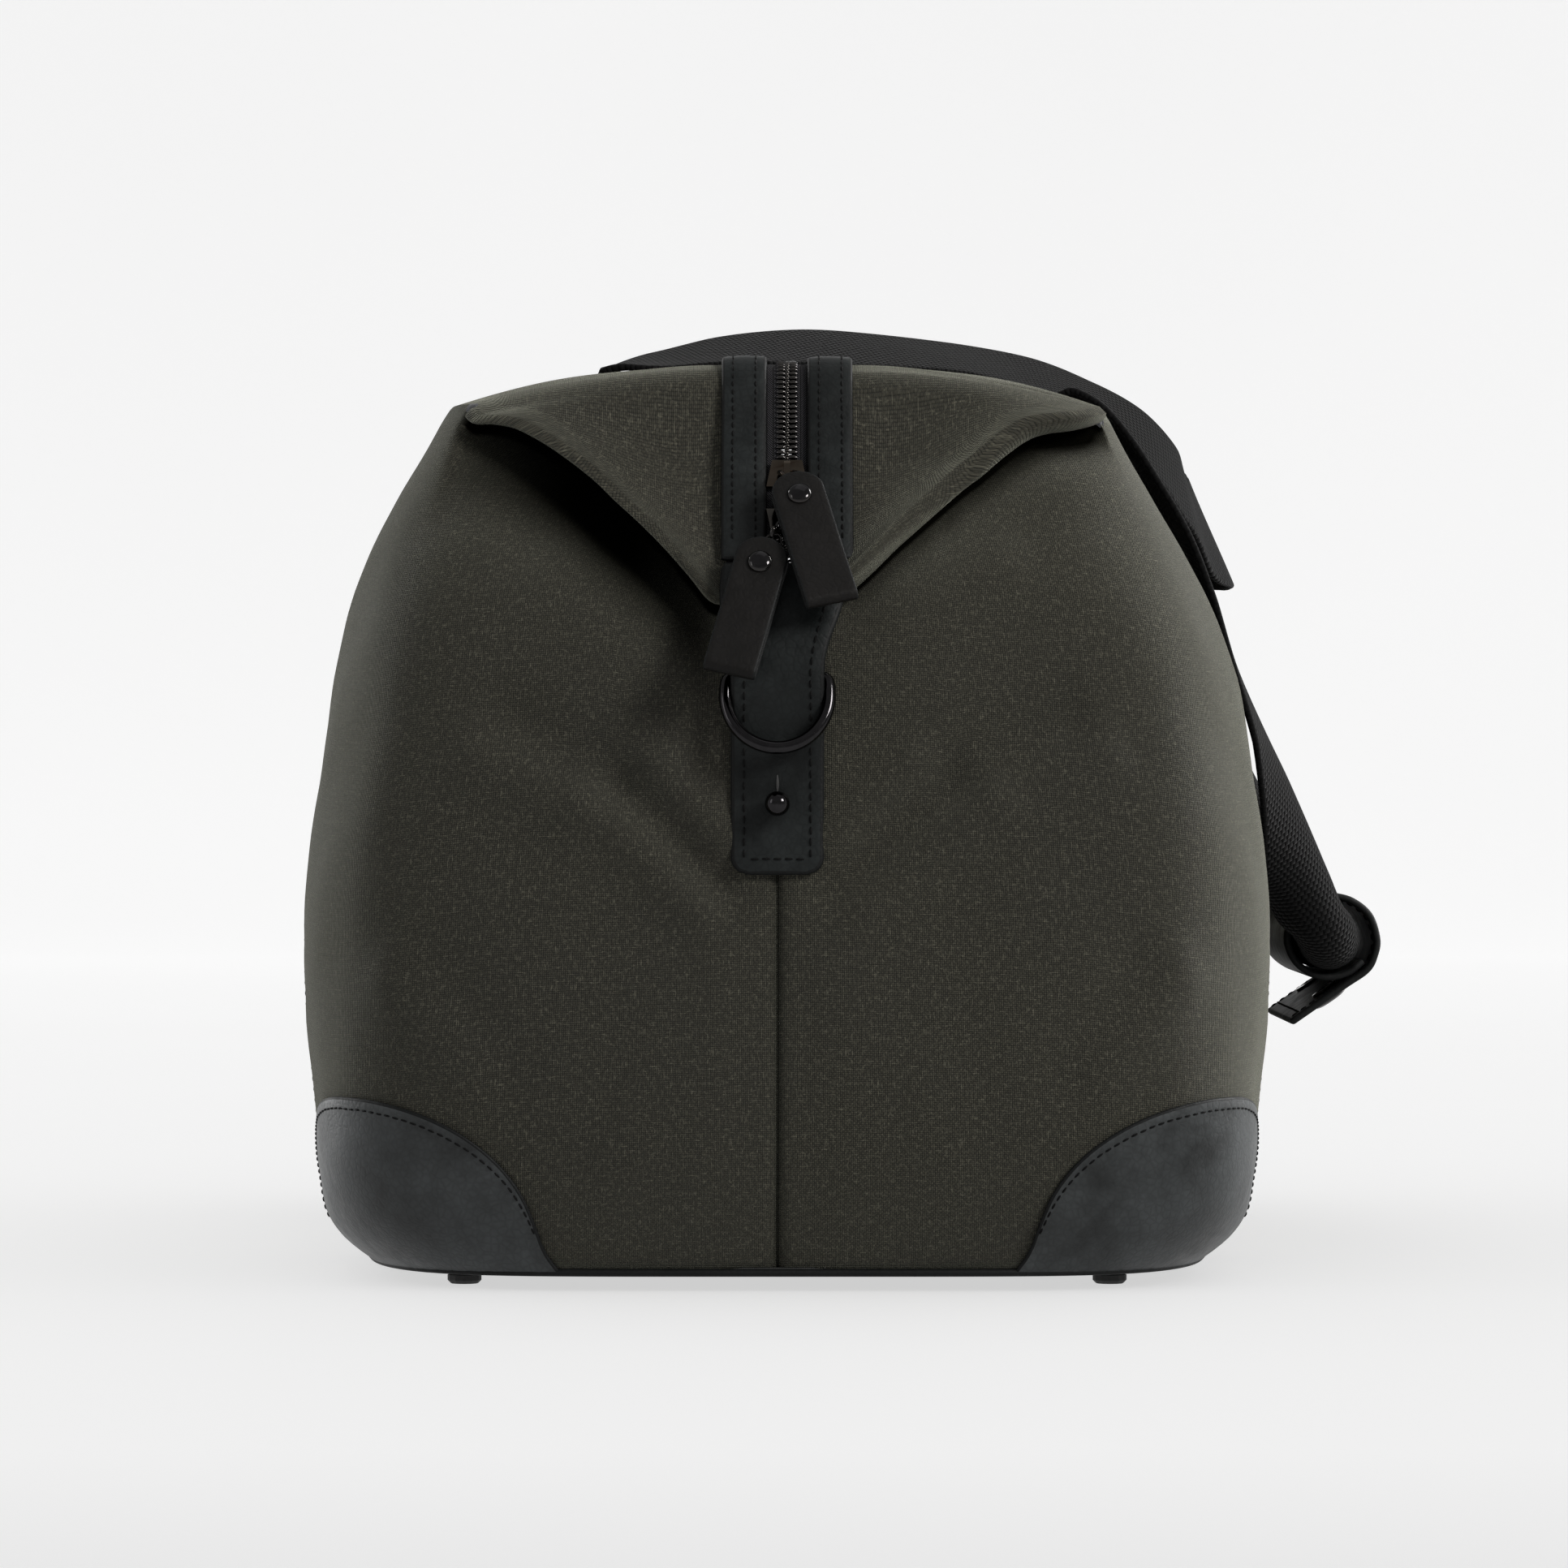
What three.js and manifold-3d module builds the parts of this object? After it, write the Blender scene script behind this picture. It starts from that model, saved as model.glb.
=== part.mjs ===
// Weekender bag: canvas body with tucked ends, a two-way zip along the top, leather trim, webbing handles.
// Millimetres, +Z up. Y runs along the bag: "near" is the -Y end, which carries both zip sliders.
// X runs across it: "front" is the +X face, over which both handles hang.
import * as THREE from "three";
import { mergeVertices } from "three/addons/utils/BufferGeometryUtils.js";
import Module from "manifold-3d";

const wasm = await Module();
wasm.setup();

// Driving dimensions
const BODY = { x: -20.8, y: 3.7 }; // the body's middle, so that the object with its handles is centred
const HALF_LENGTH = 250;
const SEAM_Z = 6; // where the panels meet the base
const FOLD_Z = 198; // lowest point of the end flap's fold
const EAR_Z = 256; // height of the folded ears and of the shoulder line
const CREST_Z = 276; // top of the zip line at mid-length
const CREST_DROP = 5; // how much lower the zip line is at the ends
const FLAP_SLOPE = 1.793; // rise over run of the end flap
const HALF_WIDTHS = [
  [SEAM_Z, 127], [11, 133.4], [16, 137.2], [30, 140.2], [60, 142.8], [80, 145], [100, 145.6],
  [125, 143.9], [150, 140], [180, 134.6], [210, 125.6], [230, 116.2], [245, 107.9], [EAR_Z, 101.9],
];
const HALF_LENGTHS = [
  [SEAM_Z, 233], [30, 243], [90, HALF_LENGTH], [150, HALF_LENGTH], [178, 248.8], [FOLD_Z, 247],
];
// How square the plan outline is, as the exponent of its superellipse
const SQUARENESS = [[SEAM_Z, 5.5], [30, 7], [100, 7], [150, 7.3], [210, 8], [245, 10.5], [EAR_Z, 12]];
const FRONT_TUCK = 0.045; // share by which the front side is narrower at the shoulder than the back
const CANVAS = 2;
const BINDING = [7, 18]; // inner and outer edge of the leather along the zip, from the mid-plane
const PANEL_EDGE = 18.4;
const WEBBING = { width: 38, thick: 2.2 };
const STRAP_Y = 100;
const TAB_WIDTH = 24.4;
const TAB_TOP = 210;
const TAB_TIP = 121.8;
const STUD_Z = 141.4;
const RING_Z = 177.5; // the D-ring's straight bar
const FOOT = { x: 95, y: 200, radius: 5, height: 2.6 };

const COLOURS = {
  canvas: ["#34342d", 0.95, 0],
  lining: ["#2a2b2d", 0.9, 0],
  base: ["#1d1e1e", 0.85, 0],
  board: ["#3a332b", 0.9, 0],
  tape: ["#18181a", 0.9, 0],
  leather: ["#303436", 0.6, 0],
  pull_leather: ["#2d2a28", 0.6, 0],
  webbing: ["#232324", 0.95, 0],
  nickel: ["#26262a", 0.25, 1],
  rubber: ["#141414", 0.8, 0],
};

const group = new THREE.Group();
const body = new THREE.Group();
body.position.set(BODY.x, BODY.y, 0);
group.add(body);

// Adds a piece in the body's own frame, where x = 0 is the mid-plane.
function add(name, geometry, look, parent = body) {
  const [color, roughness, metalness] = COLOURS[look];
  const mesh = new THREE.Mesh(geometry, new THREE.MeshStandardMaterial({ color, roughness, metalness }));
  mesh.name = name;
  parent.add(mesh);
  return mesh;
}

function along(table, z) {
  let k = 1;
  while (k < table.length - 1 && z > table[k][0]) k += 1;
  const [z0, v0] = table[k - 1];
  const [z1, v1] = table[k];
  return v0 + (v1 - v0) * THREE.MathUtils.clamp((z - z0) / (z1 - z0), 0, 1);
}

function halfLength(z) {
  return z > FOLD_Z ? along(HALF_LENGTHS, z) - (z - FOLD_Z) / FLAP_SLOPE : along(HALF_LENGTHS, z);
}

// Height of the zip line at y: a shallow crown that rounds over into the end flaps.
function crest(y) {
  const top = CREST_Z - CREST_DROP * (y / 206) ** 2;
  const flap = FOLD_Z + (247 - Math.abs(y)) * FLAP_SLOPE;
  const soft = 4;
  return -soft * Math.log(Math.exp(-(top - 250) / soft) + Math.exp(-(flap - 250) / soft)) + 250;
}

// A point of the plan outline at height z; (cx, cy) lies on the edge of the unit square.
function outline(cx, cy, z) {
  const n = along(SQUARENESS, z);
  const r = (Math.abs(cx) ** n + Math.abs(cy) ** n) ** (-1 / n);
  return new THREE.Vector3(along(HALF_WIDTHS, z) * cx * r, halfLength(z) * cy * r, z);
}

// Draws a point of the front side in towards the mid-plane, the more the higher it is.
function tucked(p) {
  const { smoothstep } = THREE.MathUtils;
  const share = FRONT_TUCK * smoothstep(p.z, 165, 240) * smoothstep(p.x, 2 * PANEL_EDGE, 70);
  return new THREE.Vector3(p.x * (1 - share), p.y, p.z);
}

// How far along the end flap's fold a column is: 0 at its lowest point, 1 at the ear.
function foldShare(f) {
  const t = THREE.MathUtils.clamp((f - 0.12) / 0.8, 0, 1);
  return 1 - (1 - t) ** 1.7;
}

// The closed body of a sheet: a grid of points, pushed from low to high along its normals.
function sheet(grid, low, high) {
  const rows = grid.length;
  const cols = grid[0].length;
  const at = (i, j) => grid[THREE.MathUtils.clamp(i, 0, rows - 1)][THREE.MathUtils.clamp(j, 0, cols - 1)];
  const positions = [];
  for (const offset of [low, high]) {
    for (let i = 0; i < rows; i += 1) {
      for (let j = 0; j < cols; j += 1) {
        const du = at(i + 1, j).clone().sub(at(i - 1, j));
        const dv = at(i, j + 1).clone().sub(at(i, j - 1));
        const p = at(i, j).clone().addScaledVector(du.cross(dv).normalize(), offset);
        positions.push(p.x, p.y, p.z);
      }
    }
  }
  const id = (side, i, j) => side * rows * cols + i * cols + j;
  const index = [];
  const quad = (a, b, c, d) => index.push(a, b, c, a, c, d);
  for (let i = 0; i < rows - 1; i += 1) {
    for (let j = 0; j < cols - 1; j += 1) {
      quad(id(1, i, j), id(1, i + 1, j), id(1, i + 1, j + 1), id(1, i, j + 1));
      quad(id(0, i, j), id(0, i, j + 1), id(0, i + 1, j + 1), id(0, i + 1, j));
    }
  }
  for (let i = 0; i < rows - 1; i += 1) {
    quad(id(0, i, 0), id(0, i + 1, 0), id(1, i + 1, 0), id(1, i, 0));
    quad(id(0, i + 1, cols - 1), id(0, i, cols - 1), id(1, i, cols - 1), id(1, i + 1, cols - 1));
  }
  for (let j = 0; j < cols - 1; j += 1) {
    quad(id(0, 0, j + 1), id(0, 0, j), id(1, 0, j), id(1, 0, j + 1));
    quad(id(0, rows - 1, j), id(0, rows - 1, j + 1), id(1, rows - 1, j + 1), id(1, rows - 1, j));
  }
  const geometry = new THREE.BufferGeometry();
  geometry.setAttribute("position", new THREE.Float32BufferAttribute(positions, 3));
  geometry.setIndex(index);
  return geometry;
}

function solid(geometry) {
  const bare = geometry.clone();
  bare.deleteAttribute("normal");
  bare.deleteAttribute("uv");
  const merged = mergeVertices(bare, 1e-4);
  return new wasm.Manifold(
    new wasm.Mesh({
      numProp: 3,
      vertProperties: new Float32Array(merged.attributes.position.array),
      triVerts: new Uint32Array(merged.index.array),
    }),
  );
}

function geometryOf(manifold) {
  const mesh = manifold.getMesh();
  const geometry = new THREE.BufferGeometry();
  geometry.setAttribute("position", new THREE.Float32BufferAttribute(mesh.vertProperties, 3));
  geometry.setIndex([...mesh.triVerts]);
  geometry.computeVertexNormals();
  return geometry;
}

// Cuts a cylindrical hole along Y through (x, z), over a span of y.
function drill(geometry, x, z, radius, from, to) {
  const tool = new THREE.CylinderGeometry(radius, radius, to - from, 16);
  tool.translate(x, (from + to) / 2, z);
  return geometryOf(solid(geometry).subtract(solid(tool)));
}

function lathe(profile, segments = 12) {
  return new THREE.LatheGeometry(profile.map(([r, h]) => new THREE.Vector2(r, h)), segments);
}

function tube(points, radius, closed, steps, sides = 8) {
  const path = new THREE.CatmullRomCurve3(points, closed, "catmullrom", 0.5);
  if (closed) return new THREE.TubeGeometry(path, steps, radius, sides, true);
  const section = new THREE.Shape();
  section.absarc(0, 0, radius, 0, Math.PI * 2);
  return new THREE.ExtrudeGeometry(section, { steps, extrudePath: path, curveSegments: sides });
}

// Body panels -------------------------------------------------------------------------------------

const END_COLUMNS = [0, 0.15, 0.3, 0.46, 0.62, 0.78, 0.9, 1];
const SIDE_COLUMNS = [0.9, 0.74, 0.52, 0.28, 0];
const WALL_ROWS = [0, 0.02, 0.04, 0.09, 0.15, 0.24, 0.38, 0.54, 0.7, 0.84, 0.94, 1];
const TOP_ROWS = [0.2, 0.45, 0.72, 1];

// One column of a half panel's grid, from the base seam up to the zip.
function column(cx, cy) {
  const onEnd = Math.abs(cy) === 1;
  const share = onEnd ? foldShare(cx) : 1;
  const foldZ = FOLD_Z + (EAR_Z - FOLD_Z) * share;
  const points = WALL_ROWS.map((w) => outline(cx, cy, SEAM_Z + (foldZ - SEAM_Z) * w));
  const fold = points[points.length - 1];
  const zipY = Math.sign(cy) * (onEnd ? 243.6 - 36.6 * share - 4 * cx ** 6 : 203 * Math.abs(cy));
  const zip = new THREE.Vector3(cx === 0 && onEnd ? 6 : PANEL_EDGE, zipY, crest(zipY));
  const crown = onEnd ? THREE.MathUtils.smoothstep(cx, 0.55, 1) : 1;
  for (const t of TOP_ROWS) {
    const p = fold.clone().lerp(zip, t);
    p.z += crown * (zip.z - fold.z) * (1 - (1 - t) ** 2.2 - t);
    points.push(p);
  }
  points.forEach((p) => {
    p.x = Math.max(p.x, 0.3);
  });
  return points;
}

function mirrored(grid) {
  return grid.map((row) => row.map((p) => new THREE.Vector3(-p.x, p.y, p.z))).reverse();
}

function halfGrid() {
  const near = END_COLUMNS.map((f) => column(f, -1));
  const shares = [...SIDE_COLUMNS.map((g) => -g), ...SIDE_COLUMNS.slice(0, -1).reverse()];
  const side = shares.map((g) => column(1, g));
  const far = END_COLUMNS.map((f) => column(f, 1)).reverse();
  return [...near, ...side, ...far];
}

function panels() {
  const grid = halfGrid();
  const inner = grid.map((row) => row.slice(1).map((p) => new THREE.Vector3(Math.max(p.x, 1), p.y, p.z)));
  const front = (g) => g.map((row) => row.map(tucked));
  for (const [name, make] of [["front", front], ["back", mirrored]]) {
    let outer = sheet(make(grid), -CANVAS, 0);
    let lining = sheet(make(inner), -4.2, -3.4);
    for (const side of [-1, 1]) {
      const span = side < 0 ? [-256, -240] : [240, 256];
      outer = drill(outer, 0, STUD_Z, 2.2, ...span);
      lining = drill(lining, 0, STUD_Z, 2.2, ...span);
    }
    add(`${name}_panel`, outer, "canvas");
    add(`lining_${name}`, lining, "lining");
  }
}

// Base --------------------------------------------------------------------------------------------

function plate(inset, low, high, holeRadius) {
  const shape = new THREE.Shape();
  const corners = [0, 0.3, 0.6, 0.85, 1];
  const quarter = corners.map((f) => [f, 1]);
  quarter.push(...corners.slice(0, -1).reverse().map((g) => [1, g]));
  const ring = [];
  for (const [sx, sy] of [[1, 1], [1, -1], [-1, -1], [-1, 1]]) {
    const part = quarter.map(([cx, cy]) => outline(cx * sx, cy * sy, SEAM_Z));
    ring.push(...(sx * sy > 0 ? part : part.reverse()).slice(0, -1));
  }
  const [kx, ky] = [HALF_WIDTHS, HALF_LENGTHS].map((table) => 1 - inset / table[0][1]);
  shape.setFromPoints(ring.map((p) => new THREE.Vector2(p.x * kx, p.y * ky)));
  for (const x of [-FOOT.x, FOOT.x]) {
    for (const y of [-FOOT.y, FOOT.y]) {
      const hole = new THREE.Path();
      hole.absarc(x, y, holeRadius, 0, Math.PI * 2);
      shape.holes.push(hole);
    }
  }
  const depth = high - low;
  const geometry = new THREE.ExtrudeGeometry(shape, { depth, bevelEnabled: false, curveSegments: 6 });
  geometry.translate(0, 0, low);
  return geometry;
}

function base() {
  add("base_panel", plate(1, 2.9, 4.9, 2.6), "base");
  add("base_board", plate(4, 5.3, 7.8, 2.6), "board");
  for (const [across, x] of [["front", FOOT.x], ["back", -FOOT.x]]) {
    for (const [end, y] of [["near", -FOOT.y], ["far", FOOT.y]]) {
      const { radius, height } = FOOT;
      const foot = lathe([[0, 0], [radius - 1, 0], [radius, 1], [radius, height], [2, height], [2, 10.4],
        [0, 10.4]]);
      foot.rotateX(Math.PI / 2);
      foot.translate(x, y, 0);
      add(`foot_${across}_${end}`, foot, "rubber");
      const washer = lathe([[2.4, 8.1], [5.5, 8.1], [5.5, 9.3], [2.4, 9.3], [2.4, 8.1]]);
      washer.rotateX(Math.PI / 2);
      washer.translate(x, y, 0);
      add(`foot_washer_${across}_${end}`, washer, "nickel");
    }
  }
}

// Leather patches round the lower corners ---------------------------------------------------------

function cornerPatches() {
  const reach = [0.48, 0.31]; // shares of the end and of the side that a patch covers
  const steps = 6;
  const ups = [0, 0.1, 0.2, 0.45, 0.7, 1];
  for (const [across, sx] of [["front", 1], ["back", -1]]) {
    for (const [end, sy] of [["near", -1], ["far", 1]]) {
      const grid = [];
      for (let i = -steps; i <= steps; i += 1) {
        const p = Math.sin(((i / steps) * Math.PI) / 2) * 0.985;
        const cx = sx * (p < 0 ? 1 + p * reach[0] : 1);
        const cy = sy * (p < 0 ? 1 : 1 - p * reach[1]);
        const height = 49 * (1 - Math.abs(p) ** 2.4) ** (1 / 2.4);
        grid.push(ups.map((v) => outline(cx, cy, SEAM_Z + 0.5 + height * v)));
      }
      if (sx * sy > 0) grid.reverse();
      add(`corner_patch_${across}_${end}`, sheet(grid, 1.2, 2.7), "leather");
    }
  }
}

// Zip ---------------------------------------------------------------------------------------------

const ZIP_STATIONS = [-233, -224, -216, -211, -207, -203, -198, -190, -165, -130, -90, -45, 0];

// A strip that follows the zip line between two distances from the mid-plane.
function zipStrip(side, x0, x1, low, high, start) {
  const half = [start, ...ZIP_STATIONS];
  const ys = [...half, ...half.slice(0, -1).reverse().map((y) => -y)];
  const across = side > 0 ? [x1, x0] : [-x0, -x1];
  return sheet(ys.map((y) => across.map((x) => new THREE.Vector3(x, y, crest(y)))), low, high);
}

function zip() {
  for (const [name, side] of [["front", 1], ["back", -1]]) {
    add(`zip_tape_${name}`, zipStrip(side, 3.4, 17.4, -1.5, -0.8, -240.8), "tape");
    add(`zip_teeth_${name}`, zipStrip(side, 0.6, 3.05, -2.3, 0.1, -240.6), "nickel");
    add(`binding_${name}`, zipStrip(side, ...BINDING, -0.2, 1.6, -239.4), "leather");
  }
}

// A group whose +Z runs up the end flap, whose -Y points out of it and whose origin lies at height z.
function onFlap(z, parent = body) {
  const place = new THREE.Group();
  place.position.set(0, -247 + (z - FOLD_Z) / FLAP_SLOPE, z);
  place.rotation.x = -Math.atan2(1, FLAP_SLOPE);
  parent.add(place);
  return place;
}

// A group in which the near end's pieces can be placed for either end.
function endGroup(end) {
  const turned = new THREE.Group();
  turned.rotation.z = end === "near" ? 0 : Math.PI;
  body.add(turned);
  return turned;
}

function zipStop(end) {
  const stop = new THREE.BoxGeometry(6, 1.6, 3);
  stop.translate(0, 1, 0);
  add(`zip_stop_${end}`, stop, "nickel", onFlap(206, endGroup(end)));
}

// The slider is two plates joined by a thin web between the halves of the chain, with a bridge on top.
function slider(name, z, facing) {
  const halfWidth = 5.2;
  const halfWeb = 0.25;
  const outer = [-0.5, -1.7];
  const inner = [3.2, 4.4];
  const right = [[halfWidth, outer[1]], [halfWidth, outer[0]], [halfWeb, outer[0]],
    [halfWeb, inner[0]], [halfWidth, inner[0]], [halfWidth, inner[1]]];
  const left = right.map(([x, y]) => [-x, y]).reverse();
  const section = new THREE.Shape([...right, ...left].map((corner) => new THREE.Vector2(...corner)));
  const length = 9;
  const plates = new THREE.ExtrudeGeometry(section, { depth: length, steps: 3, bevelEnabled: false });
  plates.translate(0, 0, -length / 2);
  const at = plates.attributes.position;
  for (let i = 0; i < at.count; i += 1) {
    if (Math.abs(at.getX(i)) > 1) at.setX(i, at.getX(i) * (1 + 0.035 * at.getZ(i) * facing));
  }
  const arch = new THREE.Shape();
  arch.moveTo(-3.4, 1);
  arch.lineTo(-3.4, 2.8);
  arch.quadraticCurveTo(-3.4, 4.4, -1.8, 4.4);
  arch.lineTo(1.8, 4.4);
  arch.quadraticCurveTo(3.4, 4.4, 3.4, 2.8);
  arch.lineTo(3.4, 1);
  arch.lineTo(2.4, 1);
  arch.lineTo(2.4, 3.6);
  arch.lineTo(-2.4, 3.6);
  arch.lineTo(-2.4, 1);
  const bridge = new THREE.ExtrudeGeometry(arch, { depth: 1.8, bevelEnabled: false, curveSegments: 3 });
  bridge.translate(0, 0, -0.9);
  const upright = new THREE.Matrix4();
  upright.makeBasis(new THREE.Vector3(0, 0, 1), new THREE.Vector3(0, -1, 0), new THREE.Vector3(1, 0, 0));
  bridge.applyMatrix4(upright);
  const whole = solid(plates).add(solid(bridge));
  add(name, geometryOf(whole), "nickel", onFlap(z));
}

// End tabs, D-rings and ball studs ----------------------------------------------------------------

const TAB_THICK = 2.6;
const TAB_BEND = 177.5; // where the tab folds when it is unbuttoned
const BUTTON_HOLE = 4.6;
const RING_WIRE = 1.9;
const RING_HALF = 14.9; // from the mid-plane to the middle of the ring's wire

// A strip across x that follows a path of [y, z, half-width], as the back of a piece of leather.
function tabStrip(path) {
  const across = [1, 0.4, -0.4, -1];
  const grid = path.map(([y, z, half]) => across.map((k) => new THREE.Vector3(k * half, y, z)));
  return sheet(grid, 0, TAB_THICK);
}

function tab(end) {
  const parent = endGroup(end);
  const half = TAB_WIDTH / 2;
  const upper = [[-253.5, 178.2, half], [-253.3, 184, half + 0.4], [-251.8, 190, half + 1.8],
    [-249.8, 194.5, half + 3.2], [-248.3, 198.6, half + 4.2], [-245, 204.4, half + 4.8],
    [-241.4, TAB_TOP, half + 4.8]];
  add(`tab_base_${end}`, tabStrip(upper), "leather", parent);
  const corner = 4;
  const lower = [0, 0.3, 1.2, 2.4, corner].map((rise) => {
    const inset = corner - Math.sqrt(corner ** 2 - (corner - rise) ** 2);
    return [-250.7, TAB_TIP + rise, half - inset];
  });
  lower.push([-250.7, 134, half], [-250.7, 147, half], [-250.8, 156, half], [-251.1, 162, half]);
  lower.push([-252.1, 168, half], [-253.3, 173, half], [-253.5, TAB_BEND - 0.6, half]);
  const leather = drill(tabStrip(lower), 0, STUD_Z - 0.3, BUTTON_HOLE, -256, -249);
  add(`tab_${end}`, leather, "leather", parent);
}

function dRing(end) {
  const barY = -251.2;
  const bowY = -259.3;
  const drop = 20.1;
  const points = [];
  const place = (x, fall) => {
    points.push(new THREE.Vector3(x, barY + ((bowY - barY) * fall) / drop, RING_Z - fall));
  };
  place(-RING_HALF + 3, 0);
  place(0, 0);
  place(RING_HALF - 3, 0);
  place(RING_HALF - 0.4, 0.9);
  for (let k = 0; k <= 8; k += 1) {
    const angle = (k / 8) * Math.PI;
    place(RING_HALF * Math.cos(angle), drop - RING_HALF + RING_HALF * Math.sin(angle));
  }
  place(-RING_HALF + 0.4, 0.9);
  add(`d_ring_${end}`, tube(points, RING_WIRE, true, 36), "nickel", endGroup(end));
}

function ballStud(end) {
  const parent = endGroup(end);
  const ball = 3.6;
  const neck = 2;
  const profile = [[0, 0], [1.6, 0], [1.6, 3.6], [4, 3.6], [4, 4.6], [neck, 4.9], [neck, 8.3]];
  for (let k = 1; k <= 8; k += 1) {
    const angle = Math.PI * (0.18 + (0.82 * k) / 8);
    profile.push([k === 8 ? 0 : ball * Math.sin(angle), 10.9 - ball * Math.cos(angle)]);
  }
  const stud = lathe(profile, 16);
  stud.rotateX(Math.PI);
  stud.translate(0, -246.7, STUD_Z);
  add(`stud_${end}`, stud, "nickel", parent);
  const screw = lathe([[0, 0], [4.5, 0], [4.5, 1.1], [0, 1.1]]);
  screw.translate(0, -245.4, STUD_Z);
  add(`stud_screw_${end}`, screw, "nickel", parent);
}

// Zip pulls ---------------------------------------------------------------------------------------

const PULL = { width: 14, above: 8, below: 37, layer: 1.3, gap: 1.9 };

// A pull is one strip of leather folded at its lower end; its rivet is the origin.
function pullLeather() {
  const y = (PULL.gap + PULL.layer) / 2;
  const path = [];
  const tops = [PULL.above, PULL.above - 0.6, PULL.above - 2.2, PULL.above - 4.4, 1];
  tops.forEach((z) => path.push([y, z]));
  path.push([y, -12], [y, -24]);
  for (let k = 0; k <= 6; k += 1) {
    const angle = (k / 6) * Math.PI;
    path.push([y * Math.cos(angle), -PULL.below + y + PULL.layer / 2 - y * Math.sin(angle)]);
  }
  path.push([-y, -24], [-y, -12]);
  [...tops].reverse().forEach((z) => path.push([-y, z]));
  const half = PULL.width / 2;
  const widthAt = (z) => {
    const into = half - (PULL.above - z);
    return into > 0 ? Math.sqrt(half ** 2 - into ** 2 + 4) - 0.13 * into : half;
  };
  const grid = path.map(([py, z]) => {
    const reach = Math.min(half, widthAt(z));
    return [-reach, 0, reach].map((x) => new THREE.Vector3(x, py, z));
  });
  return drill(sheet(grid, -PULL.layer / 2, PULL.layer / 2), 0, 0, 1.5, -6, 6);
}

function rivet() {
  const face = PULL.gap / 2 + PULL.layer + 0.25;
  const front = [[1.1, face], [3.3, face], [3.3, face + 0.5], [2.4, face + 1.1], [1.2, face + 1.3],
    [0, face + 1.35]];
  const back = [[0, -face - 0.5], [3.3, -face - 0.5], [3.3, -face], [1.1, -face]];
  const profile = [...front.reverse().map(([r, h]) => [r, -h]), ...back.reverse().map(([r, h]) => [r, -h])];
  return lathe(profile);
}

function pull(letter, z, lean, tilt, bail, offset) {
  const pivot = new THREE.Group();
  pivot.position.set(0, -2.65, 0);
  onFlap(z).add(pivot);
  const hang = new THREE.Group();
  hang.rotation.x = THREE.MathUtils.degToRad(-lean) + Math.atan2(1, FLAP_SLOPE);
  pivot.add(hang);
  add(`bail_${letter}`, tube(bail.map((p) => new THREE.Vector3(...p)), 0.65, true, 28, 5), "nickel", hang);
  const leather = new THREE.Group();
  leather.position.set(...offset);
  leather.rotation.y = THREE.MathUtils.degToRad(tilt);
  hang.add(leather);
  add(`pull_${letter}`, pullLeather(), "pull_leather", leather);
  add(`rivet_${letter}`, rivet(), "nickel", leather);
  return hang;
}

function pulls() {
  const bailA = [[0, 0, 0], [2.2, -0.2, -0.6], [3.2, -3.4, -3.4], [4.6, -4.8, -6.6], [6, -4.8, -13.2],
    [4.6, -4.8, -16.9], [2.3, -4.8, -15.2], [0.4, -4.8, -8], [-1.6, -3.4, -3.4], [-2.2, -0.2, -0.6]];
  pull("a", 236.5, 36, -14, bailA, [3.6, -4.8, -13.9]);
  const bailB = [[0, 0, 0], [2.1, -0.2, -0.8], [1.8, -1.6, -3.2], [-1.6, -3.6, -5.2], [-3.9, -7.1, -7.2],
    [-4.6, -5, -9.6], [-4.9, -3.1, -7.2], [-3.2, -1.6, -3.8], [-2.1, -0.2, -0.8]];
  const hang = pull("b", 222, 29, 14, bailB, [-7.8, -5, -18.3]);
  const ring = [];
  for (let k = 0; k < 10; k += 1) {
    const angle = (k / 10) * Math.PI * 2;
    const [u, w] = [3.1 * Math.cos(angle), 6.7 * Math.sin(angle)];
    const turn = 0.436;
    const x = -5.6 + u * Math.cos(turn) + w * Math.sin(turn);
    const z = -14 - u * Math.sin(turn) + w * Math.cos(turn);
    ring.push(new THREE.Vector3(x, -5, z));
  }
  add("ring_b", tube(ring, 0.5, true, 20, 5), "nickel", hang);
}

// Webbing -----------------------------------------------------------------------------------------

// The body's outer surface at (y, z) on its front side, or over the top where z is above the shoulder line.
function sidePoint(y, z) {
  const n = along(SQUARENESS, z);
  const x = along(HALF_WIDTHS, z) * (1 - Math.abs(y / halfLength(z)) ** n) ** (1 / n);
  return new THREE.Vector3(x, y, z);
}

function topPoint(x, y) {
  const shoulder = sidePoint(y, EAR_Z).x;
  const t = (x - PANEL_EDGE) / (shoulder - PANEL_EDGE);
  return new THREE.Vector3(x, y, EAR_Z + (crest(y) - EAR_Z) * (1 - t ** 2.2));
}

const STRAP_LIFT = 1.1;
const WALL_STATIONS = [9, 12, 16, 22, 30, 45, 75, 100, 125, 150, 180, 205, 222, 235, 246, 254];
const TOP_STATIONS = { front: [98, 92, 87.5], back: [98, 91, 82, 72, 53] }; // the last is its end

function sewnStrap(across, end) {
  const y0 = end === "near" ? -STRAP_Y : STRAP_Y;
  const rows = [];
  const ys = [1, 0, -1].map((k) => y0 + (k * WEBBING.width) / 2);
  for (const z of WALL_STATIONS) rows.push(ys.map((y) => sidePoint(y, z)));
  for (const x of TOP_STATIONS[across]) rows.push(ys.map((y) => topPoint(x, y)));
  const flipped = rows.map((row) => row.map((p) => new THREE.Vector3(-p.x, p.y, p.z)).reverse());
  const grid = across === "front" ? rows.map((row) => row.map(tucked)) : flipped;
  add(`strap_${across}_${end}`, sheet(grid, STRAP_LIFT, STRAP_LIFT + WEBBING.thick), "webbing");
}

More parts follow.
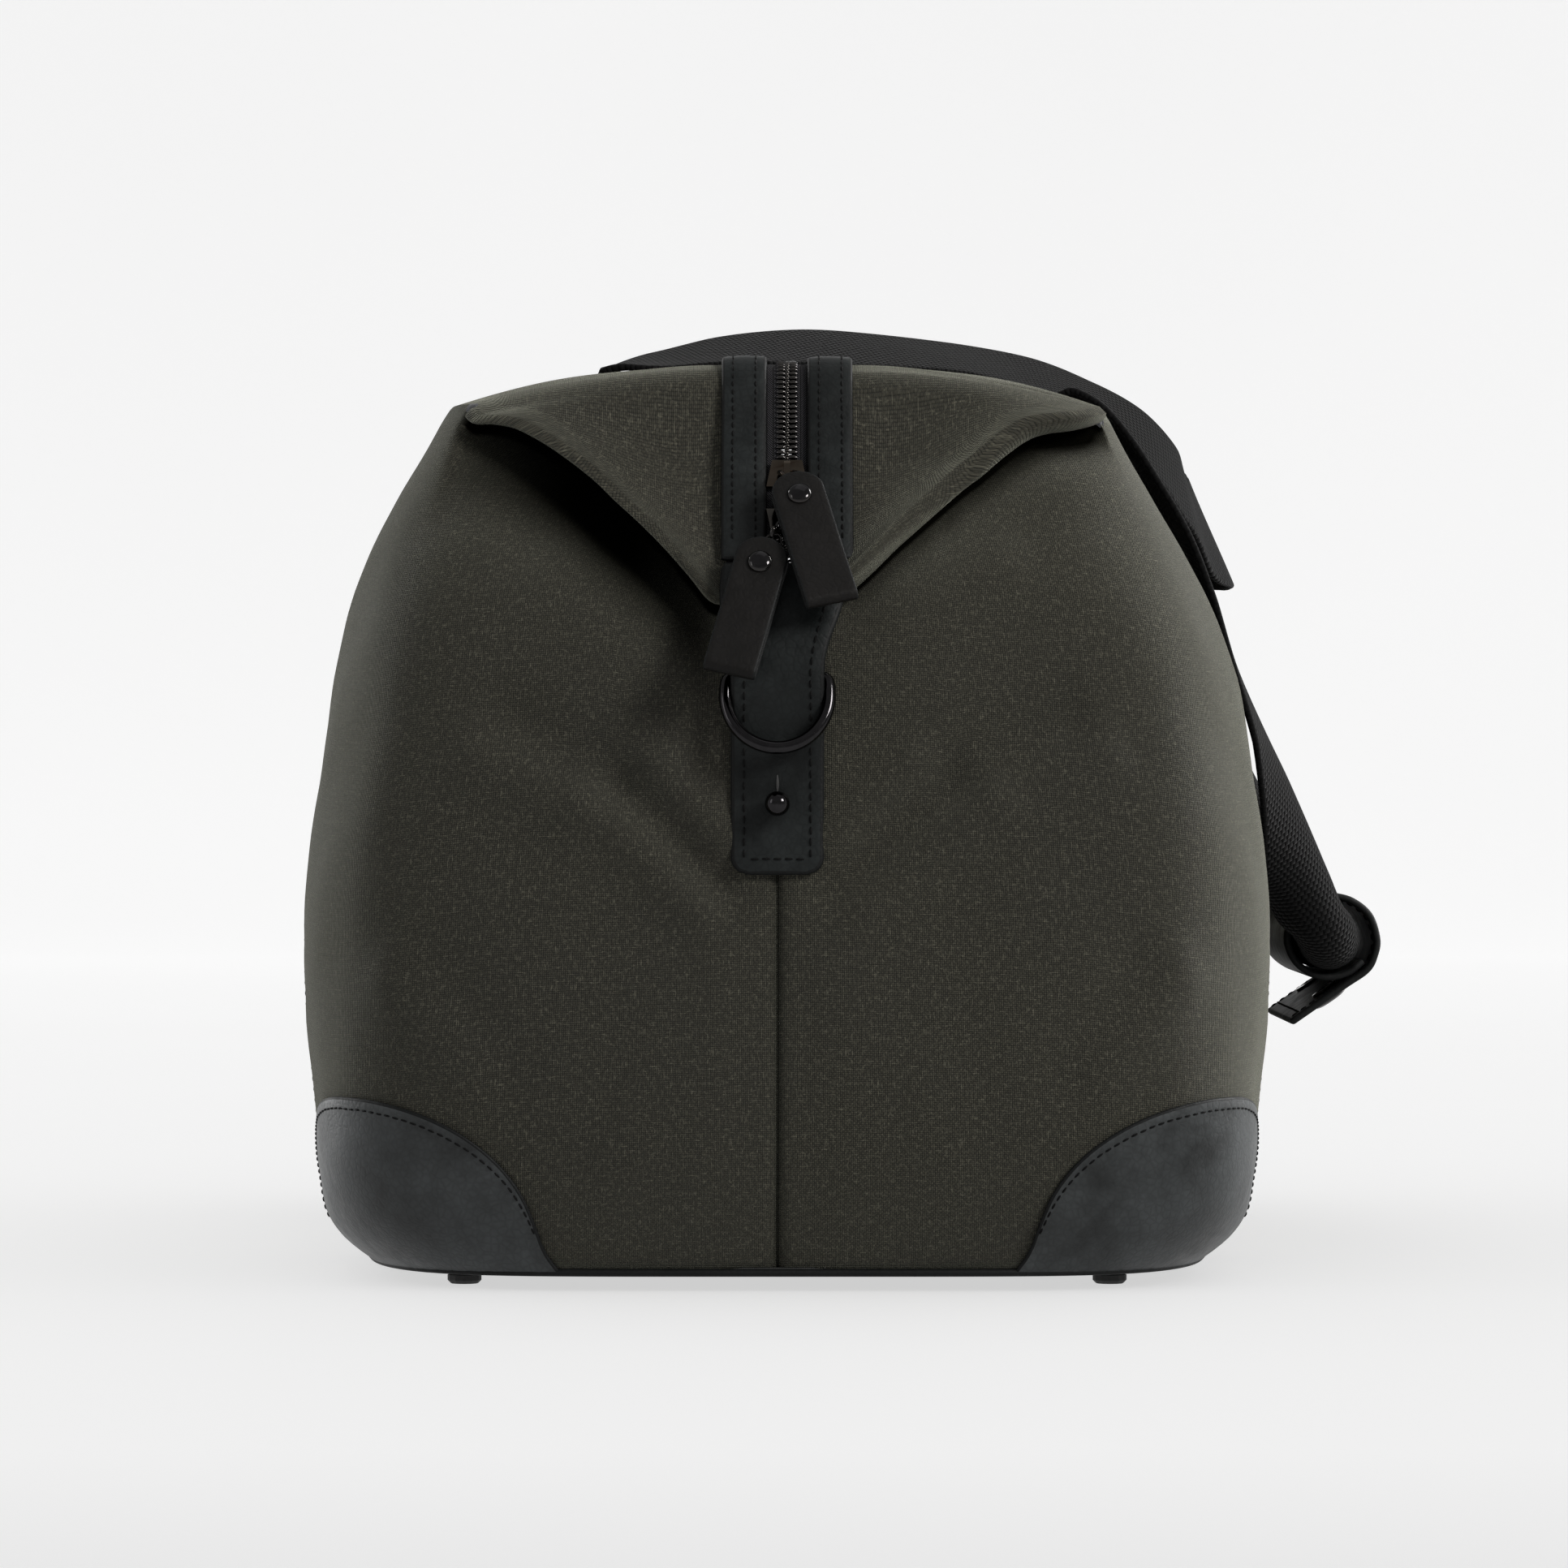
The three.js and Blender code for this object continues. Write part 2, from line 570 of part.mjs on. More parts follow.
// The near half of each free handle, from where it leaves the top to mid-length. Each station is the middle
// of the webbing, the direction across it, and how tightly it curls across its width, per millimetre.
const HANDLES = {
  back: [
    [[-50, -100, 277.6], [0, 1, 0], 0],
    [[-38, -98, 279.6], [0.1, 0.99, 0.1], 0],
    [[-18, -92.5, 283], [0.2, 0.96, 0.19], 0],
    [[8, -84, 284.2], [0.28, 0.94, 0.2], 0],
    [[34, -75, 283], [0.3, 0.93, 0.2], 0],
    [[58, -67, 279.5], [0.3, 0.93, 0.2], 0],
    [[80, -61, 274.2], [0.25, 0.94, 0.24], 0],
    [[98, -58, 265.8], [0.1, 0.94, 0.33], 0],
    [[114, -52, 254.5], [-0.1, 0.8, 0.59], 0],
    [[125, -43, 241.5], [-0.2, 0.52, 0.83], 0],
    [[131, -31, 230.5], [-0.28, 0.25, 0.93], 0],
    [[135.5, -15, 228], [-0.36, 0.08, 0.93], 0],
    [[136.5, 0, 228], [-0.38, 0, 0.925], 0],
  ],
  front: [
    [[84, -100, 266.6], [0, 1, 0], 0],
    [[88.4, -100, 267.4], [0, 1, 0], 0],
    [[97, -100, 262.6], [0, 1, 0], 0],
    [[105, -100, 253.6], [0, 1, 0], 0],
    [[113.4, -100, 240.6], [0, 1, 0], 0],
    [[122.8, -100, 224], [0, 1, 0], 0],
    [[131.6, -98, 206], [0, 1, 0], 0],
    [[139.4, -94, 186], [0.03, 1, 0], 0.004],
    [[146.4, -88, 166], [0.1, 1, 0.03], 0.012],
    [[155.6, -81, 146], [0.25, 0.96, 0.1], 0.035],
    [[163.4, -74, 127], [0.45, 0.87, 0.15], 0.07],
    [[168, -68.5, 111], [0.76, 0.6, 0.2], 0.1],
    [[171, -63.5, 98.5], [0.94, 0.28, 0.14], 0.112],
    [[172, -53, 90.2], [1, 0.06, 0.04], 0.112],
    [[172, -36, 88.9], [1, 0, 0], 0.112],
    [[172, 0, 88.7], [1, 0, 0], 0.112],
  ],
};
const ACROSS_SHARES = {
  back: [-1, -0.33, 0.33, 1],
  front: [-1, -0.72, -0.43, -0.14, 0.14, 0.43, 0.72, 1],
};
const STATION_STEPS = 2;

function webbingHandle(across) {
  const near = HANDLES[across];
  const turned = ([[x, y, z], [u, v, w], curl]) => [[x, -y, z], [u, -v, w], curl];
  const stations = [...near, ...near.slice(0, -1).reverse().map(turned)];
  const curve = (part) => {
    const points = stations.map((station) => new THREE.Vector3(...station[part]));
    return new THREE.CatmullRomCurve3(points, false, "catmullrom");
  };
  const middle = curve(0);
  const width = curve(1);
  const last = stations.length - 1;
  const grid = [];
  for (let k = 0; k <= last * STATION_STEPS; k += 1) {
    const t = k / (last * STATION_STEPS);
    const at = t * last;
    const from = Math.min(Math.floor(at), last - 1);
    const curl = THREE.MathUtils.lerp(stations[from][2], stations[from + 1][2], at - from);
    const tangent = middle.getTangent(t);
    const widthways = width.getPoint(t).projectOnPlane(tangent).normalize();
    const inward = widthways.clone().cross(tangent);
    grid.push(ACROSS_SHARES[across].map((share) => {
      const reach = (share * WEBBING.width) / 2;
      const [sideways, rise] = curl > 0.001
        ? [Math.sin(reach * curl) / curl, (1 - Math.cos(reach * curl)) / curl]
        : [reach, 0];
      return middle.getPoint(t).addScaledVector(widthways, sideways).addScaledVector(inward, rise);
    }));
  }
  add(`handle_${across}`, sheet(grid, -WEBBING.thick / 2, WEBBING.thick / 2), "webbing");
}

const GRIP = { x: 172, z: 98, leather: 2.2, half: 50, snapY: 34 }; // the wrap round the front handle
const SNAP_PARTS = [["snap_cap", 6, 1.6, 1], ["snap_socket", 4.5, 0.9, -1]];

// The wrap is a strip of leather rolled round the webbing; its outer end runs out into a straight flap.
function gripWrap() {
  const turns = [
    [-38, 12.4], [-62, 12.2], [-90, 12.2], [-118, 12.5], [-149, 13.1], [-180, 13.6], [-211, 13.5],
    [-242, 13.3], [-270, 13.3], [-298, 13.8], [-329, 14.5], [-360, 14.9], [-380, 15.1], [-400, 15.3],
  ];
  const path = turns.map(([degrees, radius]) => {
    const angle = THREE.MathUtils.degToRad(degrees);
    return new THREE.Vector3(GRIP.x + radius * Math.cos(angle), 0, GRIP.z + radius * Math.sin(angle));
  });
  const end = path[path.length - 1];
  const flap = new THREE.Vector3(-0.82, 0, -0.57).normalize();
  for (const reach of [9, 29]) path.push(end.clone().addScaledVector(flap, reach));
  const grid = path.map((p) => [GRIP.half, 0, -GRIP.half].map((y) => new THREE.Vector3(p.x, y, p.z)));
  add("grip_wrap", sheet(grid, -GRIP.leather / 2, GRIP.leather / 2), "leather");
  const outward = new THREE.Vector3(-flap.z, 0, flap.x);
  const seat = end.clone().addScaledVector(flap, 14);
  for (const [place, y] of [["near", -GRIP.snapY], ["far", GRIP.snapY]]) {
    for (const [name, radius, height, facing] of SNAP_PARTS) {
      const half = [radius, height / 2];
      const disc = lathe([[0, 0], [radius, 0], half, [radius - 1.2, height], [0, height]], 16);
      disc.translate(0, GRIP.leather / 2 + 0.3, 0);
      const piece = add(`${name}_${place}`, disc, "nickel");
      piece.position.set(seat.x, y, seat.z);
      const axis = outward.clone().multiplyScalar(facing);
      piece.quaternion.setFromUnitVectors(new THREE.Vector3(0, 1, 0), axis);
    }
  }
}

panels();
base();
cornerPatches();
zip();
for (const end of ["near", "far"]) {
  zipStop(end);
  tab(end);
  dRing(end);
  ballStud(end);
}
slider("slider_a", 236.5, -1);
slider("slider_b", 222, 1);
pulls();
for (const across of ["front", "back"]) {
  for (const end of ["near", "far"]) sewnStrap(across, end);
  webbingHandle(across);
}
gripWrap();

export default group;
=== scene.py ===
# Weekender bag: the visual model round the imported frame. Lengths are millimetres in the bag's own frame,
# where x = 0 is the body's mid-plane, until a mesh is made; Blender's objects are in metres in the row frame.
import math
import random

import bmesh
import bpy
import numpy as np
from mathutils.bvhtree import BVHTree
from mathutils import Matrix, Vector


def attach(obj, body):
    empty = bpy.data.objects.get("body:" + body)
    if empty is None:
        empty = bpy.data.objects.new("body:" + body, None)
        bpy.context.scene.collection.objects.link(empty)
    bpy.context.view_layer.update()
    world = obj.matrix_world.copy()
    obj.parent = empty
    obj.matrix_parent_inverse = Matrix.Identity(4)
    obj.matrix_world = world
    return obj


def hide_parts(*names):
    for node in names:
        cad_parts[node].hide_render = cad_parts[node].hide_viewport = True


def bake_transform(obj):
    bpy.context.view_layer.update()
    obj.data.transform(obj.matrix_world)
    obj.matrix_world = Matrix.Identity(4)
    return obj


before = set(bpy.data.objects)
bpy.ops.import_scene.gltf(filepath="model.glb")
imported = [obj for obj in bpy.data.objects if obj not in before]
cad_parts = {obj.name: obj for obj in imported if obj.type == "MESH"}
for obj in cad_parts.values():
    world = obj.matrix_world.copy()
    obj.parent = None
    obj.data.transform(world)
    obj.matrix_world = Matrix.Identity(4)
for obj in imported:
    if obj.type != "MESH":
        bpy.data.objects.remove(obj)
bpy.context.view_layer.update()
random.seed(7)

BODY_X = -20.8
BODY_Y = 3.7
SEAM_Z = 6.0
FOLD_Z = 198.0
EAR_Z = 256.0
FLAP_SLOPE = 1.793
FLAP_OUT = np.array([0.0, -0.8734, 0.4871])
HALF_WIDTHS = [(SEAM_Z, 127), (11, 133.4), (16, 137.2), (30, 140.2), (60, 142.8), (80, 145), (100, 145.6),
               (125, 143.9), (150, 140), (180, 134.6), (210, 125.6), (230, 116.2), (245, 107.9),
               (EAR_Z, 101.9)]
HALF_LENGTHS = [(SEAM_Z, 233), (30, 243), (90, 250), (150, 250), (178, 248.8), (FOLD_Z, 247)]
# How square the plan outline is, as the exponent of its superellipse
SQUARENESS = [(SEAM_Z, 5.5), (30, 7), (100, 7), (150, 7.3), (210, 8), (245, 10.5), (EAR_Z, 12)]
ZIP_Z = 276.0
STRAP_Y = 100.0
WEBBING = 38.0
WEBBING_THICK = 2.2
STUD_Z = 141.4
RING_Z = 177.5
ENDS = {"near": -1, "far": 1}
SIDES = {"front": 1, "back": -1}


# ---------------------------------------------------------------------------------------------------------
# Curves and grids

def smooth_curve(table):
    """A table of (x, y) as a smooth function."""
    xs = np.array([p[0] for p in table], float)
    ys = np.array([p[1] for p in table], float)
    slopes = np.gradient(ys, xs)

    def value(x):
        x = np.clip(x, xs[0], xs[-1])
        k = np.clip(np.searchsorted(xs, x) - 1, 0, len(xs) - 2)
        h = xs[k + 1] - xs[k]
        t = (x - xs[k]) / h
        a = (1 + 2 * t) * (1 - t) ** 2 * ys[k] + t * (1 - t) ** 2 * h * slopes[k]
        b = t * t * (3 - 2 * t) * ys[k + 1] + t * t * (t - 1) * h * slopes[k + 1]
        return a + b

    return value


def smoothstep(x, a, b):
    t = np.clip((x - a) / (b - a), 0, 1)
    return t * t * (3 - 2 * t)


def unit(v):
    v = np.asarray(v, float)
    return v / np.maximum(np.linalg.norm(v, axis=-1, keepdims=True), 1e-9)


def spline(points, count, closed=False):
    """count points along a Catmull-Rom curve through the given ones, evenly spaced."""
    pts = np.array(points, float)
    if closed:
        pts = np.vstack([pts[-1:], pts, pts[:2]])
    else:
        pts = np.vstack([2 * pts[0] - pts[1], pts, 2 * pts[-1] - pts[-2]])
    fine = []
    for i in range(1, len(pts) - 2):
        p0, p1, p2, p3 = pts[i - 1:i + 3]
        for t in np.linspace(0, 1, 24, endpoint=False):
            fine.append(0.5 * (2 * p1 + (p2 - p0) * t + (2 * p0 - 5 * p1 + 4 * p2 - p3) * t ** 2
                               + (3 * p1 - p0 - 3 * p2 + p3) * t ** 3))
    fine.append(pts[-2])
    return resample(fine, count, closed)


def resample(points, count, closed=False):
    pts = np.array(points, float)
    s = np.concatenate([[0], np.cumsum(np.linalg.norm(np.diff(pts, axis=0), axis=1))])
    at = np.linspace(0, s[-1], count, endpoint=not closed)
    return np.stack([np.interp(at, s, pts[:, k]) for k in range(pts.shape[1])], axis=1)


def arc_lengths(pts):
    return np.concatenate([[0], np.cumsum(np.linalg.norm(np.diff(pts, axis=0), axis=1))])


def grid_normals(g):
    du = np.gradient(g, axis=0)
    dv = np.gradient(g, axis=1)
    return unit(np.cross(du, dv))


half_width = smooth_curve(HALF_WIDTHS)
half_length_low = smooth_curve(HALF_LENGTHS)
squareness = smooth_curve(SQUARENESS)


def half_length(z):
    return half_length_low(z) - np.logaddexp(0, (np.asarray(z, float) - FOLD_Z) / 7) * 7 / FLAP_SLOPE


def crest(y):
    """Height of the zip line: a shallow crown that rounds over into the end flaps."""
    top = ZIP_Z - 5 * (y / 206) ** 2
    flap = FOLD_Z + (247 - np.abs(y)) * FLAP_SLOPE
    return -4 * np.log(np.exp(-(top - 250) / 4) + np.exp(-(flap - 250) / 4)) + 250


# ---------------------------------------------------------------------------------------------------------
# Meshes

class Build:
    """Collects the parts of one mesh, with a UV map in metres and a material for each face."""

    def __init__(self):
        self.verts, self.faces, self.uvs, self.mats = [], [], [], []
        self.count = 0

    def add(self, verts, faces, uvs=None, mat=0):
        verts = np.asarray(verts, float).reshape(-1, 3)
        uvs = np.zeros((len(verts), 2)) if uvs is None else np.asarray(uvs, float).reshape(-1, 2)
        self.verts.append(verts)
        self.uvs.append(uvs)
        self.faces.extend(tuple(int(i) + self.count for i in f) for f in faces)
        self.mats.extend([mat] * len(faces))
        self.count += len(verts)

    def object(self, name, materials, body, replaced, sharp=50, painted_shade=None):
        """Makes the Blender object."""
        verts = (np.vstack(self.verts) + [BODY_X, BODY_Y, 0]) * 0.001
        mesh = bpy.data.meshes.new(name)
        mesh.from_pydata(verts.tolist(), [], self.faces)
        uv = np.vstack(self.uvs) * 0.001
        layer = mesh.uv_layers.new(name="cloth")
        loops = np.empty(len(mesh.loops), np.int32)
        mesh.loops.foreach_get("vertex_index", loops)
        layer.data.foreach_set("uv", uv[loops].astype(np.float32).ravel())
        for m in materials:
            mesh.materials.append(m)
        mesh.polygons.foreach_set("material_index", np.array(self.mats, np.int32))
        # An optional per-point attribute of painted shade, which the canvas material reads to darken folds
        if painted_shade is not None:
            dark = mesh.attributes.new("painted_shade", "FLOAT", "POINT")
            dark.data.foreach_set("value", np.ravel(painted_shade).astype(np.float32))
        bm = bmesh.new()
        bm.from_mesh(mesh)
        bmesh.ops.remove_doubles(bm, verts=bm.verts, dist=0.000002)
        bm.to_mesh(mesh)
        bm.free()
        mesh.shade_smooth()
        mesh.set_sharp_from_angle(angle=math.radians(sharp))
        mesh.update()
        obj = bpy.data.objects.new(name, mesh)
        bpy.context.scene.collection.objects.link(obj)
        if body:
            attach(obj, body)
        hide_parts(*replaced)
        return obj


def quads(rows, cols, close_rows=False, close_cols=False, flip=False):
    out = []
    for i in range(rows if close_rows else rows - 1):
        for j in range(cols if close_cols else cols - 1):
            a, b = i * cols + j, ((i + 1) % rows) * cols + j
            c, d = ((i + 1) % rows) * cols + (j + 1) % cols, i * cols + (j + 1) % cols
            out.append((a, d, c, b) if flip else (a, b, c, d))
    return out


def thick_sheet(build, grid, thick, mat=0, edge_mat=0, middle=0.0):
    """A closed sheet round a grid of points, with half-round edges. Its first side faces along the normals."""
    g = np.asarray(grid, float)
    rows, cols = g.shape[:2]
    n = grid_normals(g)
    uvs = np.stack(np.meshgrid(arc_lengths(g[rows // 2]), arc_lengths(g[:, cols // 2])), axis=-1)
    half = thick / 2
    centre = g + n * middle
    build.add(centre + n * half, quads(rows, cols), uvs, mat)
    build.add(centre - n * half, quads(rows, cols, flip=True), uvs, mat)
    loop = [(i, 0) for i in range(rows)] + [(rows - 1, j) for j in range(1, cols)]
    loop += [(i, cols - 1) for i in range(rows - 2, -1, -1)] + [(0, j) for j in range(cols - 2, 0, -1)]
    idx = tuple(np.array(loop).T)
    rim, normal, ruv = centre[idx], n[idx], uvs[idx]
    out = unit(np.cross(unit(np.roll(rim, -1, axis=0) - np.roll(rim, 1, axis=0)), normal))
    rings, ring_uvs = [], []
    for angle in np.linspace(0, math.pi, 7):
        rings.append(rim + out * (half * math.sin(angle)) + normal * (half * math.cos(angle)))
        ring_uvs.append(ruv + 0.3 * math.sin(angle))
    faces = quads(7, len(loop), close_cols=True)
    build.add(np.array(rings), faces, np.array(ring_uvs), edge_mat)
    return centre + n * half, n


def tube(build, points, radius, mat=0, sides=10, closed=False):
    """A round tube along the points, with capped ends."""
    pts = np.asarray(points, float)
    count = len(pts)
    radii = np.broadcast_to(np.asarray(radius, float), (count,))
    ahead = np.roll(pts, -1, axis=0) - np.roll(pts, 1, axis=0) if closed else np.gradient(pts, axis=0)
    tangent = unit(ahead)
    side = np.cross(tangent[0], [0.31, 0.27, 0.91])
    verts = []
    for i in range(count):
        side = unit(side - tangent[i] * np.dot(side, tangent[i]))
        other = np.cross(tangent[i], side)
        for k in range(sides):
            angle = 2 * math.pi * k / sides
            verts.append(pts[i] + radii[i] * (side * math.cos(angle) + other * math.sin(angle)))
    faces = quads(count, sides, close_rows=closed, close_cols=True, flip=True)
    if not closed:
        faces.append(tuple(range(sides)))
        faces.append(tuple((count - 1) * sides + k for k in reversed(range(sides))))
    uv = [(2 * math.pi * radii[i] * k / sides, i) for i in range(count) for k in range(sides)]
    build.add(verts, faces, uv, mat)


def lathe(build, profile, origin, axis, mat=0, sides=40):
    """A turned shape from a profile of (radius, height) along an axis, which starts and ends on the axis."""
    axis = unit(axis)
    side = unit(np.cross(axis, [0.2, 0.1, 0.97] if abs(axis[2]) < 0.9 else [1, 0, 0]))
    other = np.cross(axis, side)
    verts = []
    for r, h in profile:
        for k in range(sides):
            angle = 2 * math.pi * k / sides
            spoke = side * math.cos(angle) + other * math.sin(angle)
            verts.append(np.asarray(origin) + axis * h + max(r, 1e-4) * spoke)
    faces = quads(len(profile), sides, close_cols=True, flip=True)
    faces.append(tuple(range(sides)))
    faces.append(tuple((len(profile) - 1) * sides + k for k in reversed(range(sides))))
    build.add(verts, faces, None, mat)


STITCH_SHARE = 0.74  # of each pitch that the thread lies on top
STITCH_SINK = 0.25  # how far a stitch's ends go in


def stitches(build, path, normals, pitch, mat, thread=0.24):
    """A run of stitches along a path that lies on a surface."""
    path, normals = np.asarray(path, float), np.asarray(normals, float)
    s = arc_lengths(path)
    count = max(1, int(round(s[-1] / pitch)))
    step = s[-1] / count
    for k in range(count):
        a = (k + 0.5 - STITCH_SHARE / 2) * step
        b = (k + 0.5 + STITCH_SHARE / 2) * step
        at = np.linspace(a, b, 5)
        p = np.stack([np.interp(at, s, path[:, i]) for i in range(3)], axis=1)
        n = unit(np.stack([np.interp(at, s, normals[:, i]) for i in range(3)], axis=1))
        rise = np.array([-STITCH_SINK, thread * 0.55, thread * 0.8, thread * 0.55, -STITCH_SINK])
        wobble = np.cross(n, unit(p[-1] - p[0])) * random.uniform(-0.06, 0.06)
        radii = [thread * 0.8, thread, thread * 1.05, thread, thread * 0.8]
        tube(build, p + n * rise[:, None] + wobble, radii, mat, sides=6)


# ---------------------------------------------------------------------------------------------------------
# Materials

def srgb(r, g, b):
    def lin(c):
        c /= 255
        return c / 12.92 if c <= 0.04045 else ((c + 0.055) / 1.055) ** 2.4
    return (lin(r), lin(g), lin(b), 1.0)


class Shader:
    """A node material in the making. A number or a socket can go in wherever a value does."""

    def __init__(self, name):
        self.material = bpy.data.materials.new(name)
        self.material.use_nodes = True
        self.tree = self.material.node_tree
        self.bsdf = self.tree.nodes["Principled BSDF"]

    def node(self, kind, inputs=None, **props):
        n = self.tree.nodes.new(kind)
        for key, value in props.items():
            setattr(n, key, value)
        for key, value in (inputs or {}).items():
            self.put(n.inputs[key], value)
        return n

    def put(self, socket, value):
        if isinstance(value, bpy.types.NodeSocket):
            self.tree.links.new(value, socket)
        else:
            socket.default_value = value

    def math(self, operation, a, b=0.0):
        n = self.node("ShaderNodeMath", operation=operation)
        self.put(n.inputs[0], a)
        self.put(n.inputs[1], b)
        return n.outputs[0]

    def add(self, a, b):
        return self.math("ADD", a, b)

    def times(self, a, b):
        return self.math("MULTIPLY", a, b)

    def over(self, a, b):
        return self.math("DIVIDE", a, b)

    def sine(self, a):
        return self.math("SINE", a)

    def cloth_uv(self):
        uv = self.node("ShaderNodeUVMap", uv_map="cloth")
        parts = self.node("ShaderNodeSeparateXYZ", {"Vector": uv.outputs[0]})
        return uv.outputs[0], parts.outputs[0], parts.outputs[1]

    def place(self):
        return self.node("ShaderNodeTexCoord").outputs["Object"]

    def noise(self, scale, detail=3.0, vector=None, roughness=0.55, stretch=None):
        vector = vector or self.place()
        if stretch:
            vector = self.node("ShaderNodeMapping", {"Vector": vector, "Scale": stretch}).outputs[0]
        inputs = {"Vector": vector, "Scale": scale, "Detail": detail, "Roughness": roughness}
        return self.node("ShaderNodeTexNoise", inputs).outputs[0]

    def cells(self, scale, feature):
        inputs = {"Vector": self.place(), "Scale": scale, "Randomness": 1.0}
        return self.node("ShaderNodeTexVoronoi", inputs, feature=feature).outputs["Distance"]

    def ramp(self, value, stops):
        n = self.node("ShaderNodeValToRGB", {"Fac": value})
        el = n.color_ramp.elements
        while len(el) < len(stops):
            el.new(0.5)
        for e, (at, colour) in zip(el, stops):
            e.position = at
            e.color = colour
        return n.outputs[0]

    def scale(self, value, low, high, from_low=0.0, from_high=1.0):
        n = self.node("ShaderNodeMapRange", {0: value, 1: from_low, 2: from_high, 3: low, 4: high})
        return n.outputs[0]

    def mix(self, factor, a, b):
        n = self.node("ShaderNodeMix", data_type="RGBA")
        self.put(n.inputs[0], factor)
        self.put(n.inputs[6], a)
        self.put(n.inputs[7], b)
        return n.outputs[2]

    def bump(self, height, distance, strength=1.0, base=None):
        n = self.node("ShaderNodeBump", {"Height": height, "Distance": distance, "Strength": strength})
        if base is not None:
            self.put(n.inputs["Normal"], base)
        return n.outputs[0]

    def finish(self, colour, roughness, normal=None, **fixed):
        self.put(self.bsdf.inputs["Base Color"], colour)
        self.put(self.bsdf.inputs["Roughness"], roughness)
        if normal is not None:
            self.put(self.bsdf.inputs["Normal"], normal)
        for key, value in fixed.items():
            self.bsdf.inputs[key.replace("_", " ")].default_value = value
        return self.material


def shaded(colour, factor):
    return tuple(c * factor for c in colour[:3]) + (1,)


def weave(s, pitch):
    """Height of a plain weave, which thread is on top, and the cloth's own coordinates."""
    uv, u, v = s.cloth_uv()
    wander = s.scale(s.noise(260, 2, uv), -0.12, 0.12)
    warp, weft = [s.sine(s.times(s.add(s.over(c, pitch), wander), 2 * math.pi)) for c in (u, v)]
    product = s.times(warp, weft)
    return s.math("POWER", s.math("ABSOLUTE", product), 0.5), product, uv


def canvas_material():
    """Waxed canvas with pale slubs. A per-point attribute of painted shade on the mesh darkens its folds and
    the end seam, and takes the sheen and shine off there.
    """
    s = Shader("waxed_canvas")
    height, on_top, uv = weave(s, 0.00125)
    fibre = s.noise(1500, 2, uv, stretch=(1, 0.35, 1))
    slub_u = s.noise(1300, 2, uv, stretch=(0.35, 1.3, 1))
    slub_v = s.noise(1300, 2, uv, stretch=(1.3, 0.35, 1))
    slub = s.math("MAXIMUM", slub_u, slub_v)
    cloud = s.noise(14, 4)
    dark = s.ramp(cloud, [(0.3, srgb(40, 38, 32)), (0.7, srgb(51, 49, 41))])
    thread = s.mix(s.scale(on_top, 0.0, 1.0, -0.6, 0.6), srgb(38, 37, 31), dark)
    gap = s.mix(s.scale(height, 1.0, 0.0, 0.1, 0.8), thread, srgb(11, 12, 9))
    fleck = s.mix(s.scale(slub, 0.0, 0.5, 0.57, 0.74), gap, srgb(92, 90, 78))
    woven = s.mix(s.scale(fibre, 0.0, 0.3, 0.5, 0.8), fleck, srgb(78, 77, 66))
    # Painted shade: 1 where the hollows under the end flaps' folds and the end seam's groove are painted near
    # black, as if in shadow
    hollow = s.node("ShaderNodeAttribute", attribute_name="painted_shade").outputs["Fac"]
    colour = s.mix(s.times(hollow, 0.97), woven, srgb(3, 3, 2))
    rough = s.scale(cloud, 0.86, 0.97, 0.3, 0.7)
    normal = s.bump(s.add(s.times(height, 0.7), s.times(fibre, 0.4)), 0.00034, 0.9)
    # The painted shade also takes away sheen and shine, as shadow would
    s.put(s.bsdf.inputs["Sheen Weight"], s.scale(hollow, 0.26, 0.0))
    s.put(s.bsdf.inputs["Specular IOR Level"], s.scale(hollow, 0.2, 0.0))
    return s.finish(colour, rough, normal, Sheen_Roughness=0.36, Sheen_Tint=srgb(214, 216, 196))


def lining_material():
    s = Shader("lining_twill")
    uv, u, v = s.cloth_uv()
    wander = s.scale(s.noise(60, 2, uv), 0, 0.0006)
    twill = s.sine(s.times(s.add(s.add(u, v), wander), 2000 * math.pi / 1.1))
    colour = s.mix(s.scale(twill, 0, 1, -1, 1), srgb(33, 34, 36), srgb(44, 45, 48))
    return s.finish(colour, 0.9, s.bump(twill, 0.0001, 0.5), Sheen_Weight=0.15, Specular_IOR_Level=0.3)


def leather_material(name, dark, light, rough, shine):
    """Full-grain leather: pores and creases, a clouded colour, and paler worn edges."""
    s = Shader(name)
    pores = s.cells(1150.0, "F1")
    creases = s.cells(420.0, "DISTANCE_TO_EDGE")
    cloud = s.noise(38, 5, s.place(), 0.6)
    blotch = s.noise(150, 4, s.place(), 0.7)
    mottle = s.add(s.times(cloud, 0.7), s.times(blotch, 0.3))
    base = s.ramp(mottle, [(0.34, dark), (0.66, light)])
    grain = s.scale(creases, 0.0, 1.0, 0.0, 0.22)
    edge = s.node("ShaderNodeNewGeometry").outputs["Pointiness"]
    worn = s.mix(s.scale(edge, 0.0, 0.35, 0.515, 0.6), base, shaded(light, 2.2))
    colour = s.mix(s.scale(grain, 0.3, 0.0), worn, shaded(dark, 0.55))
    height = s.add(s.times(grain, 0.6), s.times(pores, 0.5))
    normal = s.bump(height, 0.00009, 0.6, s.bump(cloud, 0.0006, 0.35))
    roughness = s.scale(blotch, rough - 0.07, rough + 0.1, 0.3, 0.7)
    return s.finish(colour, roughness, normal, Specular_IOR_Level=shine)


